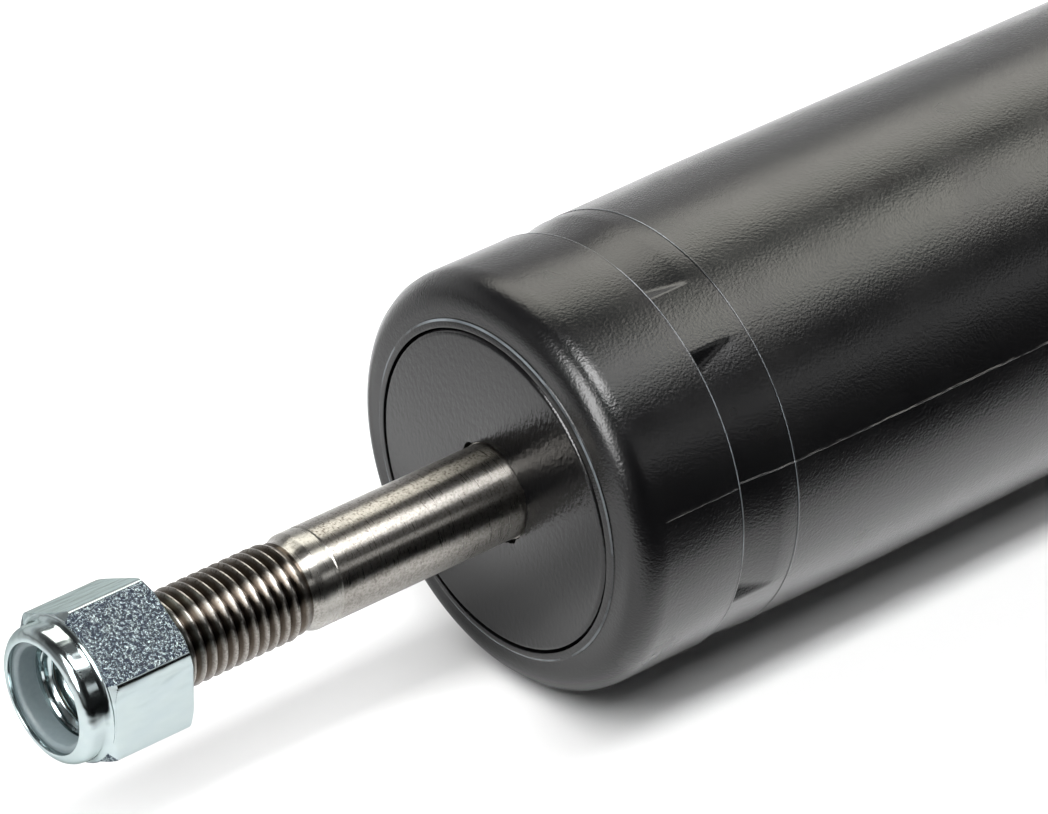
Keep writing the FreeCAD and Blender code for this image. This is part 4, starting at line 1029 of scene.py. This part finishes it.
def floor_paper(stage):
    # Matt white paper: it shows as the white of a catalogue background and keeps the object's shadow.
    # A pool of light is painted on the paper for all rays but the camera's: it ends on the camera's side,
    # so that glossy pieces reflect the dark room beyond it, fades beyond the stem's end and is dimmer behind
    # the object.
    made, tree, shader, place = begin("white_paper")
    side = add(tree, "SeparateXYZ", {0: place}).outputs
    path = add(tree, "LightPath").outputs
    painted_pool = ramp(tree, side["Y"], 0.04, 0.088, 1.0, 0.0)
    front = ramp(tree, side["X"], 0.56, 0.9, 1.0, 0.3)
    painted_dim_behind = ramp(tree, side["Y"], -0.1, -0.045, 0.55, 1.0)
    # Painted deep shade on the paper in front of the cap, 28 mm long and 100 mm wide.
    shade = ramp(tree, off_middle(tree, place, (0.488, -0.045), (0.014, 0.05)), 0.6, 1.4, 0.3)
    for share in (front, painted_dim_behind, shade):
        painted_pool = work_out(tree, "MULTIPLY", painted_pool, share)
    shown = work_out(tree, "MAXIMUM", painted_pool, path["Is Camera Ray"])
    paper = add(tree, "BsdfDiffuse", {"Color": blend(tree, shown, linear("#000000"), stage.floor)})
    # Under the tube, reflections get a painted extra light: more of the paper than its own light gives.
    mirror = work_out(tree, "MAXIMUM", path["Is Glossy Ray"], path["Is Transmission Ray"])
    painted_gain = work_out(tree, "MULTIPLY", mirror, ramp(tree, side["X"], 0.47, 0.5, 0.8, 0.0))
    dark = add(tree, "BsdfDiffuse", {"Color": linear("#000000")})
    more = add(tree, "MixShader", {0: painted_gain, 1: dark, 2: paper})
    both = add(tree, "AddShader", {0: paper, 1: more})
    # Away from the object the camera sees the plain white of the background.
    far = ramp(tree, off_middle(tree, place, (0.15 / 0.55, 0), (1 / 0.55, 1)), 0.24, 0.55)
    bare = work_out(tree, "MULTIPLY", far, path["Is Camera Ray"])
    white = add(tree, "Emission", {"Color": linear("#ffffff")})
    surface = add(tree, "MixShader", {0: bare, 1: both, 2: white})
    feed(tree, tree.nodes["Material Output"], {"Surface": surface})
    tree.nodes.remove(shader)
    return made


class SHOCK_PT_panel(Panel):
    """Buttons and settings of the shock absorber"""
    bl_idname = "SHOCK_PT_panel"
    bl_label = "Shock absorber"
    bl_space_type = "VIEW_3D"
    bl_region_type = "UI"
    bl_category = "Shock absorber"

    def draw(self, context):
        for operator in OPERATORS:
            self.layout.operator(operator.bl_idname)
        for name in SETTINGS:
            group = getattr(context.scene, name)
            box = self.layout.box()
            box.label(text=name)
            for key in group.__annotations__:
                box.prop(group, key)


OPERATORS = (
    SHOCK_OT_stem, SHOCK_OT_lock_nut, SHOCK_OT_cup, SHOCK_OT_cover, SHOCK_OT_flash, SHOCK_OT_reservoir,
    SHOCK_OT_eye, SHOCK_OT_springs, SHOCK_OT_inner, SHOCK_OT_stage,
)
SETTINGS = {
    "shock_stem": StemSettings,
    "shock_nut": NutSettings,
    "shock_cup": CupSettings,
    "shock_cover": CoverSettings,
    "shock_foot": FootSettings,
    "shock_finish": FinishSettings,
    "shock_stage": StageSettings,
}


def register():
    for item in (*SETTINGS.values(), *OPERATORS, SHOCK_PT_panel):
        bpy.utils.register_class(item)
    for name, group in SETTINGS.items():
        setattr(bpy.types.Scene, name, PointerProperty(type=group))


def unregister():
    for name in SETTINGS:
        delattr(bpy.types.Scene, name)
    for item in (SHOCK_PT_panel, *reversed(OPERATORS), *reversed(list(SETTINGS.values()))):
        bpy.utils.unregister_class(item)


def main():
    register()
    for operator in OPERATORS:
        group, name = operator.bl_idname.split(".")
        getattr(getattr(bpy.ops, group), name)()


if __name__ == "__main__":
    main()
